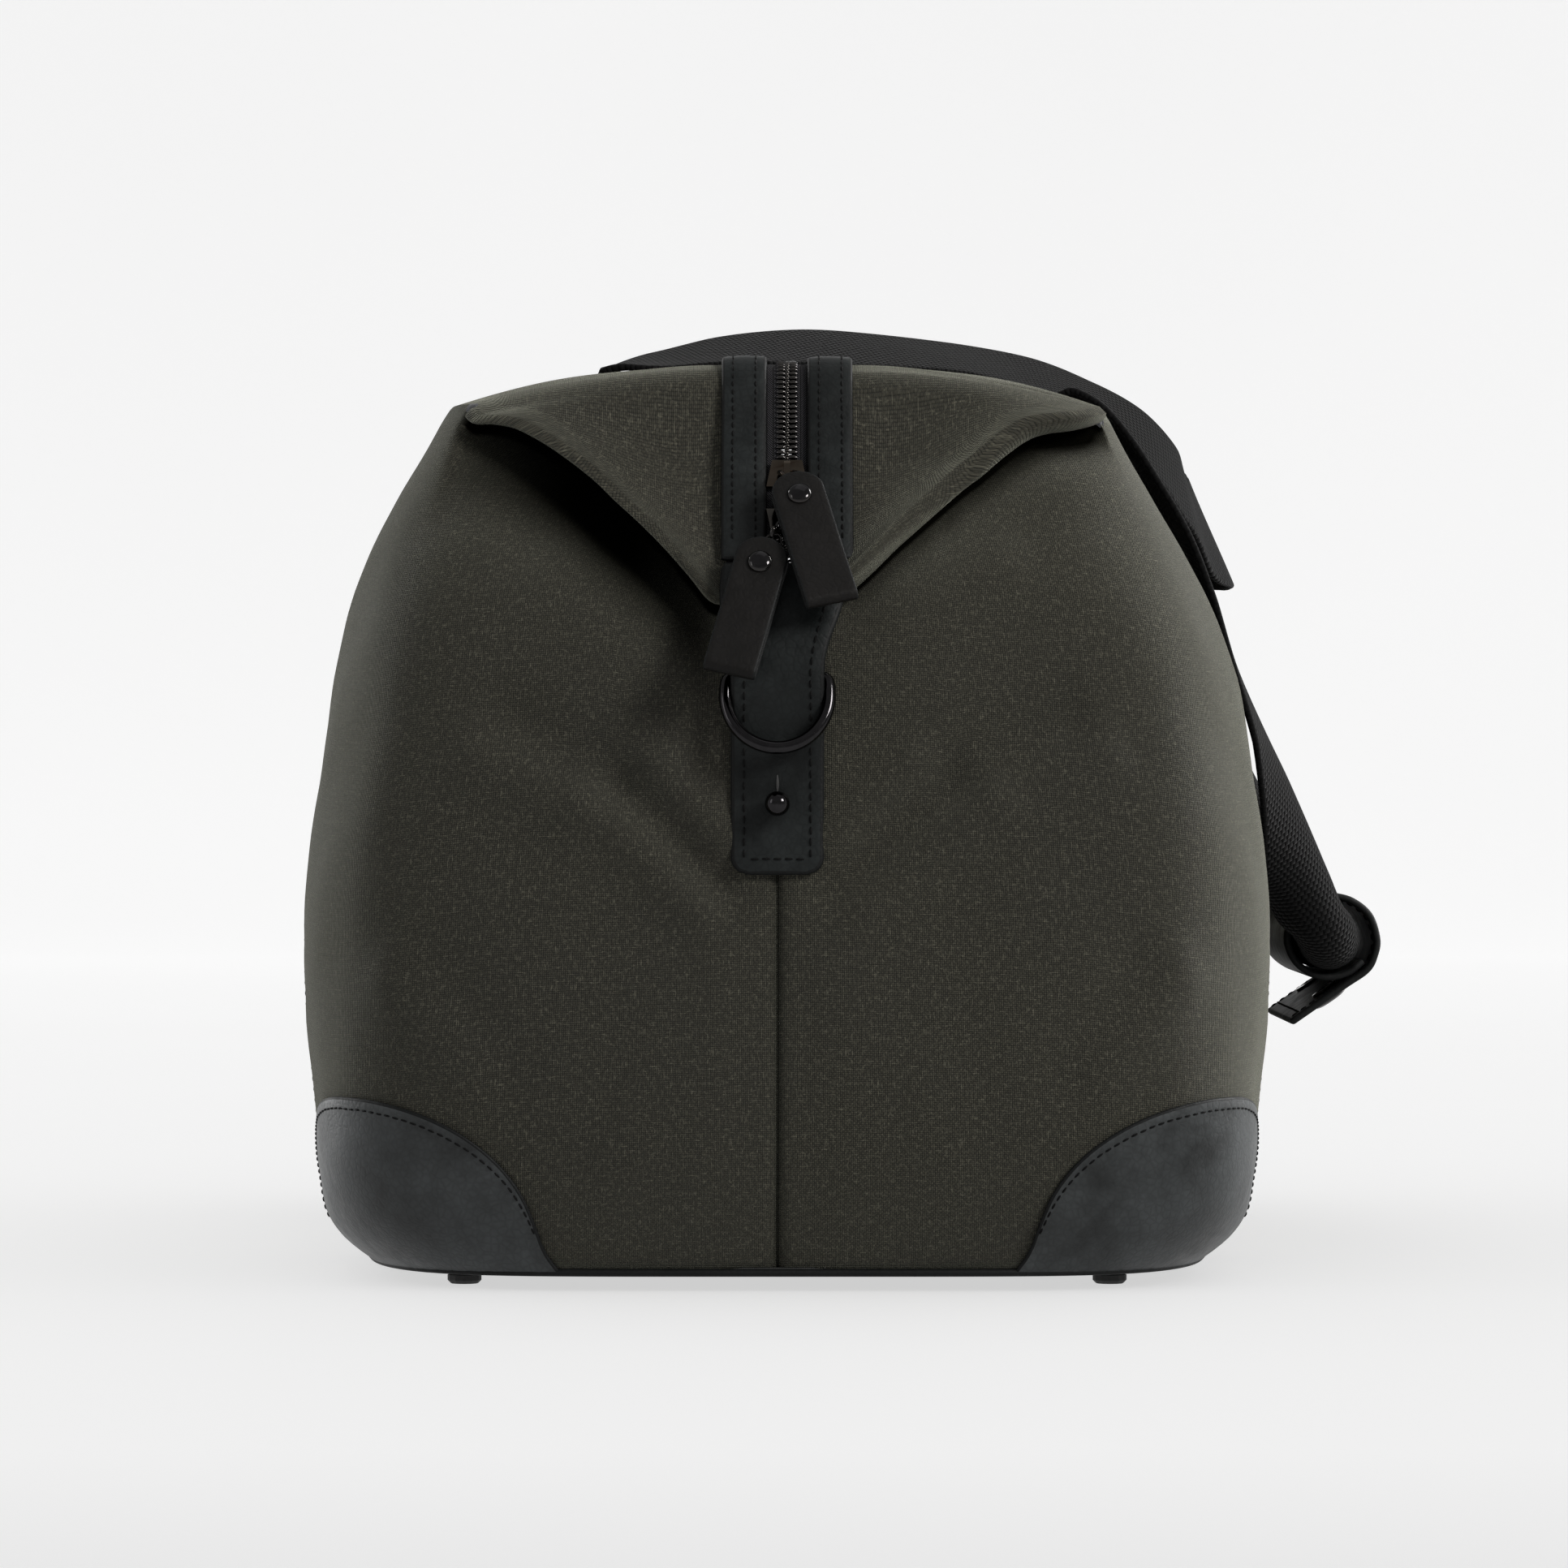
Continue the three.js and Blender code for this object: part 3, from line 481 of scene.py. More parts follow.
def webbing_material():
    """Cotton webbing: staggered knuckles in ribs, with loose pale fibres."""
    s = Shader("cotton_webbing")
    uv, u, v = s.cloth_uv()
    rib, pick = 0.0021, 0.00155
    row = s.math("FLOOR", s.over(v, pick))
    shift = s.times(s.math("MODULO", row, 2.0), 0.5)
    across = s.math("ABSOLUTE", s.sine(s.times(s.add(s.over(u, rib), shift), math.pi)))
    down = s.math("ABSOLUTE", s.sine(s.times(s.over(v, pick), math.pi)))
    knuckle = s.times(s.math("POWER", across, 0.7), s.math("POWER", down, 0.6))
    fibre = s.noise(2600, 2, uv, stretch=(1, 0.3, 1))
    lint = s.noise(420, 3, uv)
    colour = s.mix(s.scale(knuckle, 0, 1, 0.1, 0.9), srgb(2, 2, 2), srgb(12, 12, 12))
    colour = s.mix(s.scale(fibre, 0, 0.22, 0.45, 0.75), colour, srgb(24, 24, 25))
    colour = s.mix(s.scale(lint, 0, 0.12, 0.62, 0.8), colour, srgb(36, 36, 37))
    normal = s.bump(s.add(knuckle, s.times(fibre, 0.22)), 0.0006, 1.0)
    return s.finish(colour, 0.92, normal, Sheen_Weight=0.04, Sheen_Roughness=0.45, Specular_IOR_Level=0.05)


def tape_material():
    """Herringbone zip tape."""
    s = Shader("zip_tape")
    _, u, v = s.cloth_uv()
    column, pitch = 0.0019, 0.8
    zigzag = s.times(s.math("PINGPONG", u, column), 1.1)
    diagonal = s.sine(s.times(s.add(v, zigzag), 2000 * math.pi / pitch))
    split = s.scale(s.math("PINGPONG", u, column / 2), 0, 1, 0, 0.0003)
    height = s.times(s.scale(diagonal, 0, 1, -1, 1), split)
    colour = s.mix(height, srgb(2, 2, 2), srgb(50, 49, 52))
    normal = s.bump(height, 0.0003, 1.0)
    return s.finish(colour, 0.85, normal, Sheen_Weight=0.03, Specular_IOR_Level=0.08)


def thread_material():
    s = Shader("thread")
    wave = s.node("ShaderNodeTexWave", {"Vector": s.place(), "Scale": 900.0, "Distortion": 1.5})
    twist = wave.outputs[1]
    colour = s.mix(twist, srgb(2, 2, 2), srgb(11, 11, 11))
    return s.finish(colour, 0.7, s.bump(twist, 0.00008, 0.6), Specular_IOR_Level=0.08)


def metal_material(name, tint, rough):
    s = Shader(name)
    cloud = s.noise(320, 4)
    fine = s.noise(2600, 2)
    colour = s.mix(s.scale(cloud, 0, 1, 0.35, 0.65), shaded(tint, 0.82), tint)
    edge = s.node("ShaderNodeNewGeometry").outputs["Pointiness"]
    colour = s.mix(s.scale(edge, 0, 0.4, 0.53, 0.64), colour, srgb(96, 92, 84))
    roughness = s.scale(cloud, rough - 0.04, rough + 0.07, 0.3, 0.7)
    return s.finish(colour, roughness, s.bump(fine, 0.00001, 0.25), Metallic=1.0)


def base_material():
    s = Shader("base_cloth")
    height = weave(s, 0.0011)[0]
    colour = s.mix(height, srgb(16, 17, 17), srgb(34, 35, 34))
    scuff = s.noise(60, 5)
    colour = s.mix(s.scale(scuff, 0, 0.5, 0.58, 0.75), colour, srgb(58, 58, 55))
    return s.finish(colour, 0.7, s.bump(height, 0.00015, 0.6), Specular_IOR_Level=0.35)


def board_material():
    s = Shader("stiffening_board")
    fibre = s.noise(240, 5, stretch=(1, 0.3, 1))
    colour = s.ramp(fibre, [(0.3, srgb(48, 42, 36)), (0.7, srgb(70, 62, 52))])
    return s.finish(colour, 0.85, s.bump(fibre, 0.0002, 0.4))


def rubber_material():
    s = Shader("foot_rubber")
    dust = s.noise(500, 4)
    colour = s.ramp(dust, [(0.35, srgb(16, 16, 16)), (0.75, srgb(36, 36, 35))])
    return s.finish(colour, s.scale(dust, 0.6, 0.85), s.bump(dust, 0.00006, 0.4))


def floor_material():
    """A pale sweep that glows a little, less behind the place where the bag is seen from."""
    s = Shader("floor")
    place = s.node("ShaderNodeSeparateXYZ", {"Vector": s.place()})
    tone = s.noise(1.2, 2)
    colour = s.ramp(tone, [(0.3, (0.54, 0.54, 0.54, 1)), (0.7, (0.56, 0.56, 0.56, 1))])
    s.put(s.bsdf.inputs["Emission Color"], (1.0, 1.0, 1.0, 1.0))
    front = s.scale(place.outputs[1], 0.16, 0.6, -2.4, -0.7)
    high = s.scale(place.outputs[2], 0.0, 0.07, 0.1, 1.2)
    s.put(s.bsdf.inputs["Emission Strength"], s.math("SUBTRACT", front, high))
    return s.finish(colour, 0.9, Specular_IOR_Level=0.1)


CANVAS = canvas_material()
LINING = lining_material()
LEATHER = leather_material("leather", srgb(7, 9, 9), srgb(25, 28, 28), 0.48, 0.14)
PATCH_LEATHER = leather_material("patch_leather", srgb(15, 17, 17), srgb(50, 53, 54), 0.46, 0.28)
PULL_LEATHER = leather_material("pull_leather", srgb(7, 6, 5), srgb(14, 12, 11), 0.52, 0.13)
EDGE_LEATHER = leather_material("cut_edge", srgb(5, 6, 6), srgb(13, 14, 14), 0.6, 0.13)
WEB = webbing_material()
TAPE = tape_material()
THREAD = thread_material()
NICKEL = metal_material("black_nickel", srgb(44, 43, 44), 0.09)
BRONZE = metal_material("dark_bronze", srgb(54, 45, 38), 0.18)
TEETH = metal_material("chain_nickel", srgb(48, 47, 48), 0.2)
BASE = base_material()
BOARD = board_material()
RUBBER = rubber_material()
TRIM = [LEATHER, EDGE_LEATHER, THREAD]


# ---------------------------------------------------------------------------------------------------------
# The canvas body

# Each end flap's fold from the middle to the ear, as shares of the half width and of the ear's height.
FOLDS = {
    1: smooth_curve([(0, 0), (0.1, 0), (0.155, 0.09), (0.196, 0.171), (0.262, 0.303), (0.311, 0.384),
                     (0.405, 0.524), (0.459, 0.597), (0.53, 0.678), (0.61, 0.774), (0.703, 0.862),
                     (0.845, 0.903), (0.92, 0.925), (0.97, 0.945), (1, 0.955)]),
    -1: smooth_curve([(0, 0), (0.11, 0), (0.163, 0.017), (0.211, 0.126), (0.253, 0.219), (0.307, 0.328),
                      (0.365, 0.433), (0.424, 0.529), (0.477, 0.617), (0.546, 0.71), (0.62, 0.795),
                      (0.682, 0.855), (0.743, 0.903), (0.81, 0.928), (0.875, 0.935), (0.95, 1), (1, 1)]),
}
PLEAT_DEPTH = {
    1: smooth_curve([(0, 0), (0.1, 0.5), (0.17, 3.5), (0.32, 5), (0.54, 6.5), (0.7, 9), (0.81, 11), (0.9, 10),
                     (0.96, 6), (0.985, 2), (1, 0)]),
    -1: smooth_curve([(0, 0), (0.09, 1), (0.16, 10), (0.32, 19), (0.54, 20), (0.7, 17), (0.81, 13), (0.87, 8),
                      (0.925, 2), (0.96, 0), (1, 0)]),
}
PLEAT_REACH = {1: 17.0, -1: 34.0}
ROLL = {1: 4.4, -1: 1.5}
PROUD = {1: 4.2, -1: 2.8}
# Per side, the distances below the fold in mm over which the painted shade under the flap fades out
PAINTED_SHADE_FADE = {1: (2.0, 11.0), -1: (11.0, 32.0)}
LEAN_X = -2.8  # how far the lower tab and the end seam hang to one side


def lean_x(z):
    return LEAN_X * (1 - smoothstep(np.asarray(z, float), 178, 226))


def tucked(p, side):
    """Draws the front side in towards its top, and lets the back side out a little."""
    p = np.array(p, float)
    share = (0.045 if side > 0 else -0.02) * smoothstep(p[..., 2], 165, 240) * smoothstep(p[..., 0], 12, 70)
    p[..., 0] *= 1 - share
    return p


def outline(cx, cy, z):
    """Points of the plan outline at heights z; (cx, cy) lies on the edge of the unit square."""
    z = np.asarray(z, float)
    n = squareness(z)
    r = (abs(cx) ** n + abs(cy) ** n) ** (-1 / n)
    return np.stack([half_width(z) * cx * r, half_length(z) * cy * r, z], axis=-1)


def outline_normal(cx, cy, z):
    n = squareness(z)
    gx = np.sign(cx) * abs(cx) ** (n - 1) / half_width(z)
    gy = np.sign(cy) * abs(cy) ** (n - 1) / half_length(z)
    return unit(np.stack([gx, gy, 0 * z], axis=-1))


def waves(p, size, seed):
    """Smooth noise from -1 to 1, from a few crossed waves."""
    rng = np.random.default_rng(seed)
    total = 0
    for _ in range(7):
        k = unit(rng.normal(size=3)) * (2 * math.pi / (size * rng.uniform(0.7, 1.5)))
        total = total + np.sin(p @ k + rng.uniform(0, 6.28))
    return total / 3.4


def ridge(p, start, stop, width, height):
    """A soft crease between two (x, z) points on the near end; negative heights are valleys."""
    a, b = np.array(start, float), np.array(stop, float)
    q = p[..., [0, 2]]
    d = b - a
    t = ((q - a) @ d) / (d @ d)
    off = np.linalg.norm(q - (a + np.clip(t, 0, 1)[..., None] * d), axis=-1)
    return height * np.exp(-(off / width) ** 2) * (1 - smoothstep(np.abs(t - 0.5), 0.35, 0.62))


CREASES = [
    ((9, 112), (52, 150), 7, -1.6), ((16, 108), (62, 146), 8, 1.5), ((10, 128), (40, 158), 6, 0.9),
    ((44, 147), (86, 168), 9, -1.2), ((58, 140), (96, 158), 9, 1.0), ((-14, 116), (-38, 152), 10, -1.0),
    ((-22, 120), (-60, 176), 13, 0.9), ((24, 196), (70, 214), 9, 0.8), ((-30, 172), (-64, 196), 14, -1.5),
    ((-64, 40), (-108, 84), 12, 0.9), ((84, 60), (120, 96), 12, 0.9), ((78, 60), (104, 100), 9, -0.8),
]


def sag(p, n):
    """How far the cloth stands off its drawn surface."""
    z = p[..., 2]
    depth = 1.3 * waves(p, 150, 3) + 0.7 * waves(p, 62, 11) + 0.22 * waves(p, 24, 5)
    depth = depth * smoothstep(z, 8, 40) * (1 - 0.45 * smoothstep(z, 235, 262))
    q = p * [1, -1, 1] if np.mean(p[..., 1]) > 0 else p
    end = sum(ridge(q, *c) for c in CREASES)
    on_end = smoothstep(np.abs(p[..., 1]), 195, 235) * smoothstep(np.abs(n[..., 1]), 0.5, 0.9)
    on_side = smoothstep(np.abs(n[..., 0]), 0.6, 0.95)
    seam = np.exp(-(np.abs(p[..., 0] - lean_x(z)) / 1.5) ** 1.3) * -2.2
    seam = seam + np.exp(-(np.abs(p[..., 0]) / 9) ** 2) * -0.8
    seam = seam * (1 - smoothstep(z, 160, 196))
    straps = 0
    for y in (-STRAP_Y, STRAP_Y):
        straps = straps - 1.3 * np.exp(-((np.abs(p[..., 1] - y)) / 24) ** 4) * on_side
    bulge = 1.2 * np.exp(-(p[..., 1] / 60) ** 2) * on_side * smoothstep(z, 20, 90)
    return depth + on_end * (2.0 * end + seam) + straps + bulge


def skin(cx, cy, z):
    """The body's outer surface and its normals, up one column."""
    z = np.asarray(z, float)
    p = outline(cx, cy, z)
    n = outline_normal(cx, cy, z)
    if abs(cy) == 1:
        p[:, 0] += lean_x(z) * np.exp(-(p[:, 0] / 34) ** 2)
    p = p + n * sag(p, n)[..., None]
    return p, n


END_COLUMNS = 66


def shell_columns():
    """Places round one half, from the middle of the near end to the middle of the far one."""
    end = np.linspace(0, 1, END_COLUMNS) ** 1.12
    side = np.linspace(-1, 1, 104)
    side = np.sign(side) * (1 - (1 - np.abs(side)) ** 1.12)
    return [(f, -1.0) for f in end] + [(1.0, g) for g in side[1:-1]] + [(f, 1.0) for f in end[::-1]]


WALL_ROWS = 74
PLEAT_ROWS = 20
TOP_ROWS = 44


def zip_point(cx, cy, share):
    y = math.copysign(243.6 - 36.6 * share - 4 * cx ** 6, cy) if abs(cy) == 1 else 203 * cy
    return np.array([8.5, y, float(crest(y)) - 1.0])


def flap_sheet(edge_z, top, leave, out, crown, proud):
    """One column of the end flap or of the top, from the fold to the zip."""
    t = np.linspace(0, 1, TOP_ROWS + 1)[1:]
    flap = leave + (top - leave) * t[:, None]
    flap[:, 2] += crown * (top[2] - edge_z) * (1 - (1 - t) ** 2.2 - t)
    reach = np.linalg.norm(flap - leave, axis=1)
    sink = np.exp(-(reach / 22.0) ** 1.4) - 1
    flap = flap + out * (proud * sink * (1 - t))[:, None] * 0.9
    hollow = (1 - crown) * 2.2 * np.sin(math.pi * t) ** 1.2
    flap = flap - out * hollow[:, None]
    held = np.sin(math.pi * np.clip(t * 1.02, 0, 1)) ** 0.7
    flap[:, 2] += (0.55 * waves(flap, 70, 21) + 0.2 * waves(flap, 28, 8)) * held
    return flap


def pleat_sheet(wall, flap, edge, up, out, inward, depth, roll, proud, live):
    """One column of the fold, from the wall's top in under the flap's rolled edge and out over it."""
    a = wall[-1]
    centre = edge + up * roll + out * (proud - roll)
    turn = np.linspace(0.1, math.pi, 9)
    arc = [centre + roll * (-out * math.cos(w) - up * math.sin(w)) for w in turn]
    under = [a, a + up * 2 + inward * 0.7, edge + up * 3.4 + inward * (depth + 1.6)]
    under.append(edge + up * 3.8 + inward * depth * 0.55)
    pleat = spline(under + arc, PLEAT_ROWS + 2)[1:-1]
    plain = spline([wall[-3], a, edge * 0.5 + (a + flap[0]) * 0.25, flap[0], flap[1]], 64)
    first = np.argmin(np.linalg.norm(plain - a, axis=1))
    last = np.argmin(np.linalg.norm(plain - flap[0], axis=1))
    plain = resample(plain[first:last + 1], PLEAT_ROWS + 2)[1:-1]
    return plain * (1 - live) + pleat * live


def shell_column(side, cx, cy, share, along):
    """The canvas from the base seam to the zip at one place round the body, and the shade painted into its
    folds.
    """
    on_end = abs(cy) == 1
    fold_z = FOLD_Z + (EAR_Z - FOLD_Z) * share
    q = np.linspace(0, 1, WALL_ROWS)
    z = SEAM_Z + (fold_z - 3 - SEAM_Z) * (1 - (1 - q) ** 1.35)
    wall = skin(cx, cy, z)[0]
    edge = skin(cx, cy, np.array([SEAM_Z, fold_z - 3, fold_z - 0.01]))[0][2]
    edge_n = outline_normal(cx, cy, np.array([fold_z]))[0]
    depth = float(PLEAT_DEPTH[side](cx)) if on_end else 0.0
    live = min(1.0, depth / 3.0)
    inward = np.array([0.0, -math.copysign(1, cy), 0.0]) if on_end else -edge_n
    below = fold_z - z
    wall = wall + inward * (depth * np.exp(-(below / (0.48 * PLEAT_REACH[side])) ** 1.7))[:, None]
    top = zip_point(cx, cy, share)
    if cx < 0.06 and on_end:
        top[0] = 8.5 * (0.45 + 0.55 * cx / 0.06)
    crown = float(smoothstep(cx, 0.5, 1.0)) if on_end else 1.0
    out = FLAP_OUT * [1, math.copysign(1, -cy), 1] if on_end else edge_n
    out = unit(out * (1 - crown) + edge_n * crown) if on_end else edge_n
    up = unit(np.cross(out, along))
    up = up if up[2] > 0 else -up
    roll, proud = ROLL[side] * max(live, 0.3), PROUD[side] * live
    leave = edge + up * max(roll, 2.0) + out * proud
    flap = flap_sheet(edge[2], top, leave, out, crown, proud)
    middle = pleat_sheet(wall, flap, edge, up, out, inward, depth, roll, proud, live)
    column = np.vstack([wall, middle, flap])
    if on_end and cx < 0.2:
        column[:, 0] = np.maximum(column[:, 0], lean_x(column[:, 2]) - 0.1)
    # Painted shade on the wall just below the fold, where the flap's overhang shades the pleat; deeper pleats
    # are painted darker
    painted_fold_shade = depth / max(PLEAT_DEPTH[side](0.54), 9) * (1 - smoothstep(below, *PAINTED_SHADE_FADE[side]))
    # A narrow line of painted shade in the end seam's groove, which also stands for the seam's dark stitching
    if on_end and cx < 0.1:
        painted_fold_shade = painted_fold_shade + 0.8 * np.exp(-((wall[:, 0] - lean_x(wall[:, 2])) / 1.1) ** 2)
    # The pleat's rows tucked under the rolled edge are painted dark as shade too
    folded = np.full(PLEAT_ROWS, live) * smoothstep(np.arange(PLEAT_ROWS), 13, 5)
    return column, np.concatenate([np.clip(painted_fold_shade, 0, 1), folded, np.zeros(TOP_ROWS)])


def shell_uv(grid):
    """Cloth coordinates: up the wall and along the zip, blended through the fold."""
    rows = grid.shape[1]
    across = np.zeros(grid.shape[:2])
    for r in range(rows):
        across[:, r] = arc_lengths(grid[:, r])
    up_column = np.array([arc_lengths(c) for c in grid])
    y = grid[..., 1]
    along_zip = 430 + y + np.sign(y) * 0.13 * np.maximum(np.abs(y) - 203, 0)
    corner = along_zip[END_COLUMNS - 1, WALL_ROWS] - across[END_COLUMNS - 1, WALL_ROWS]
    top_u = along_zip - corner
    top_v = 300 - grid[..., 0] * 1.07
    blend = smoothstep(np.arange(rows) - WALL_ROWS, 0, 26)[None, :]
    return np.stack([across * (1 - blend) + top_u * blend, up_column * (1 - blend) + top_v * blend], axis=-1)


def shell_half(side):
    """One half of the body: a grid with a column at each place round it, its cloth coordinates and painted
    shade.
    """
    columns = shell_columns()
    shares = [float(FOLDS[side](cx)) if abs(cy) == 1 else 1.0 for cx, cy in columns]
    heights = [FOLD_Z + (EAR_Z - FOLD_Z) * s for s in shares]
    folds = np.array([outline(cx, cy, z) for (cx, cy), z in zip(columns, heights)])
    along = unit(np.gradient(folds, axis=0))
    made = [shell_column(side, cx, cy, share, way) for (cx, cy), share, way in zip(columns, shares, along)]
    grid = tucked(np.array([column for column, painted_shade in made]), side)
    return grid, shell_uv(grid), np.array([painted_shade for column, painted_shade in made])


def body_panels():
    """Makes both canvas halves, and returns their surface as a tree that trim can be laid on."""
    verts, faces = [], []
    for across, side in SIDES.items():
        grid, uv, painted_shade = shell_half(side)
        if side < 0:
            grid = grid * [-1, 1, 1]
            swap = 2 * lean_x(grid[..., 2]) * np.exp(-(grid[..., 0] / 34) ** 2)
            low = (grid[..., 2] < 226) & (np.abs(grid[..., 1]) > 225)
            grid[..., 0] += np.where(low, swap, 0)
        build = Build()
        rows, cols = grid.shape[:2]
        build.add(grid, quads(rows, cols, flip=side < 0), uv, 0)
        piece = build.object(f"canvas_{across}", [CANVAS, LINING], "bag",
                             [f"{across}_panel", f"lining_{across}"], sharp=75, painted_shade=painted_shade)
        solid = piece.modifiers.new("cloth", "SOLIDIFY")
        solid.thickness = 0.0012
        solid.offset = -1
        solid.material_offset = 1
        solid.material_offset_rim = 0
        faces += [tuple(i + len(verts) for i in f) for f in quads(rows, cols, flip=side < 0)]
        verts += grid.reshape(-1, 3).tolist()
    return BVHTree.FromPolygons(verts, faces)
# ---------------------------------------------------------------------------------------------------------
# Trim laid on the canvas

def settle(points, normals):
    """Moves points onto the canvas along their normals."""
    points, normals = np.asarray(points, float), unit(normals)
    out = points.copy().reshape(-1, 3)
    flat = normals.reshape(-1, 3)
    for k, (p, n) in enumerate(zip(points.reshape(-1, 3), flat)):
        hit = CANVAS_TREE.ray_cast((p + n * 14).tolist(), (-n).tolist(), 32)[0]
        if hit is not None:
            out[k] = hit
    return out.reshape(points.shape)


def smooth_rows(grid, reach=2, axis=0):
    """Averages a grid of points along one axis, keeping its ends."""
    g = np.asarray(grid, float)
    total = np.zeros_like(g)
    count = g.shape[axis]
    for k in range(-reach, reach + 1):
        total += np.take(g, np.clip(np.arange(count) + k, 0, count - 1), axis=axis)
    total /= 2 * reach + 1
    ends = np.ones(count)
    ends[[0, -1]] = 0
    shape = [1] * g.ndim
    shape[axis] = count
    return g + (total - g) * ends.reshape(shape)


def grid_line(grid, normals, share, start=0, stop=None, lift=0.0):
    """The line at a share of the way across a grid, with its normals."""
    cols = grid.shape[1]
    at = share * (cols - 1)
    j = min(int(at), cols - 2)
    line = grid[:, j] * (1 - (at - j)) + grid[:, j + 1] * (at - j)
    n = unit(normals[:, j] * (1 - (at - j)) + normals[:, j + 1] * (at - j))
    return (line + n * lift)[start:stop], n[start:stop]


def wall_x(y, z):
    n = squareness(z)
    return half_width(z) * (1 - np.abs(y / half_length(z)) ** n) ** (1 / n)


STRAP_END = {"front": 84.0, "back": 49.0}


def strap_grid(across, end):
    side = SIDES[across]
    columns = []
    for y in ENDS[end] * STRAP_Y - side * np.linspace(-WEBBING / 2 + 0.9, WEBBING / 2 - 0.9, 9):
        z = np.linspace(7.2, 251, 70)
        wall = np.stack([wall_x(y, z), y + 0 * z, z], axis=-1)
        shoulder = float(wall_x(y, 256.0))
        x = np.linspace(shoulder - 3, STRAP_END[across], 14)
        t = (x - 8.5) / (shoulder - 8.5)
        top = np.stack([x, y + 0 * x, 256 + (float(crest(y)) - 256) * (1 - t ** 2.2)], axis=-1)
        columns.append(resample(spline(np.vstack([wall, top]), 150), 110))
    g = tucked(np.array(columns).transpose(1, 0, 2), side) * [side, 1, 1]
    n = grid_normals(g)
    g = smooth_rows(settle(g, n), 3)
    return smooth_rows(g, 2)


def straps():
    for across in SIDES:
        for end in ENDS:
            g = strap_grid(across, end)
            build = Build()
            top, n = thick_sheet(build, g, WEBBING_THICK, middle=1.25)
            for share in (0.085, 0.915):
                line, out = grid_line(top, n, share, lift=-0.04)
                stitches(build, line, out, 3.3, 1, thread=0.3)
            stands_for = [f"strap_{across}_{end}"]
            build.object(f"webbing_{across}_{end}", [WEB, THREAD], "bag", stands_for)


def catmull(points, t):
    """Points at shares t along a uniform Catmull-Rom curve."""
    pts = np.array(points, float)
    pts = np.vstack([2 * pts[0] - pts[1], pts, 2 * pts[-1] - pts[-2]])
    at = np.asarray(t) * (len(pts) - 3)
    k = np.minimum(at.astype(int), len(pts) - 4)
    w = (at - k)[:, None]
    p0, p1, p2, p3 = (pts[k + i] for i in range(4))
    return 0.5 * (2 * p1 + (p2 - p0) * w + (2 * p0 - 5 * p1 + 4 * p2 - p3) * w ** 2
                  + (3 * p1 - p0 - 3 * p2 + p3) * w ** 3)


# The near half of each free handle: the middle of the webbing, the direction across it, and its curl per mm.
HANDLES = {
    "back": [
        ((-57.5, -100.5, 273.2), (0, 1, 0), 0), ((-51.3, -100, 275.8), (0, 1, 0.08), 0),
        ((-38, -98, 277.7), (0.1, 0.97, 0.2), 0),
        ((-18, -92.5, 280.9), (0.2, 0.93, 0.26), 0), ((8, -84, 282.6), (0.28, 0.9, 0.28), 0),
        ((34, -75, 282), (0.3, 0.91, 0.24), 0), ((58, -67, 279.5), (0.3, 0.93, 0.2), 0),
        ((80, -61, 274.2), (0.25, 0.94, 0.24), 0), ((98, -58, 265.8), (0.1, 0.94, 0.33), 0),
        ((114, -52, 254.5), (-0.1, 0.8, 0.59), 0), ((125, -43, 241.5), (-0.2, 0.52, 0.83), 0),
        ((131, -31, 230.5), (-0.28, 0.25, 0.93), 0), ((135.5, -15, 228), (-0.36, 0.08, 0.93), 0),
        ((136.5, 0, 228), (-0.38, 0, 0.925), 0)],
    "front": [
        ((84, -100, 266.6), (0, 1, 0), 0), ((88.4, -100, 267.4), (0, 1, 0), 0),
        ((97, -100, 262.6), (0, 1, 0), 0), ((105, -100, 253.6), (0, 1, 0), 0),
        ((113.4, -100, 240.6), (0, 1, 0), 0), ((122.8, -100, 224), (0, 1, 0), 0),
        ((130, -98, 206), (0, 1, 0), 0), ((137.4, -94, 186), (0.03, 1, 0), 0.004),
        ((146.4, -88, 166), (0.1, 1, 0.03), 0.012), ((155.6, -81, 146), (0.25, 0.96, 0.1), 0.035),
        ((163.4, -74, 127), (0.45, 0.87, 0.15), 0.07), ((168, -68.5, 111), (0.76, 0.6, 0.2), 0.1),
        ((171, -63.5, 98.5), (0.94, 0.28, 0.14), 0.112), ((172, -53, 90.2), (1, 0.06, 0.04), 0.112),
        ((172, -36, 88.9), (1, 0, 0), 0.112), ((172, 0, 88.7), (1, 0, 0), 0.112)],
}


def handle_grid(across):
    near = HANDLES[across]
    far = [((x, -y, z), (u, -v, w), curl) for (x, y, z), (u, v, w), curl in near[-2::-1]]
    stations = near + far
    t = np.linspace(0, 1, 230)
    middle = catmull([s[0] for s in stations], t)
    tangent = unit(np.gradient(middle, axis=0))
    width = catmull([s[1] for s in stations], t)
    width = unit(width - tangent * np.sum(width * tangent, axis=1, keepdims=True))
    inward = np.cross(width, tangent)
    curl = np.interp(t * (len(stations) - 1), np.arange(len(stations)), [s[2] for s in stations])
    curl = np.maximum(curl, 1e-5)[:, None]
    reach = np.linspace(-WEBBING / 2 + 0.9, WEBBING / 2 - 0.9, 17)[None, :]
    aside, rise = np.sin(reach * curl) / curl, (1 - np.cos(reach * curl)) / curl
    g = middle[:, None] + width[:, None] * aside[..., None] + inward[:, None] * rise[..., None]
    free = np.minimum(1, 12 * np.minimum(t, 1 - t))[:, None, None]
    return g + inward[:, None] * (0.35 * waves(g, 60, 17) * free[..., 0])[..., None]


def handles():
    """Each free handle as one loop of webbing, whose root lies on the bag's top."""
    for across in SIDES:
        build = Build()
        thick_sheet(build, handle_grid(across), WEBBING_THICK)
        webbing = build.object(f"webbing_handle_{across}", [WEB], None, [f"handle_{across}"])
        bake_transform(webbing)


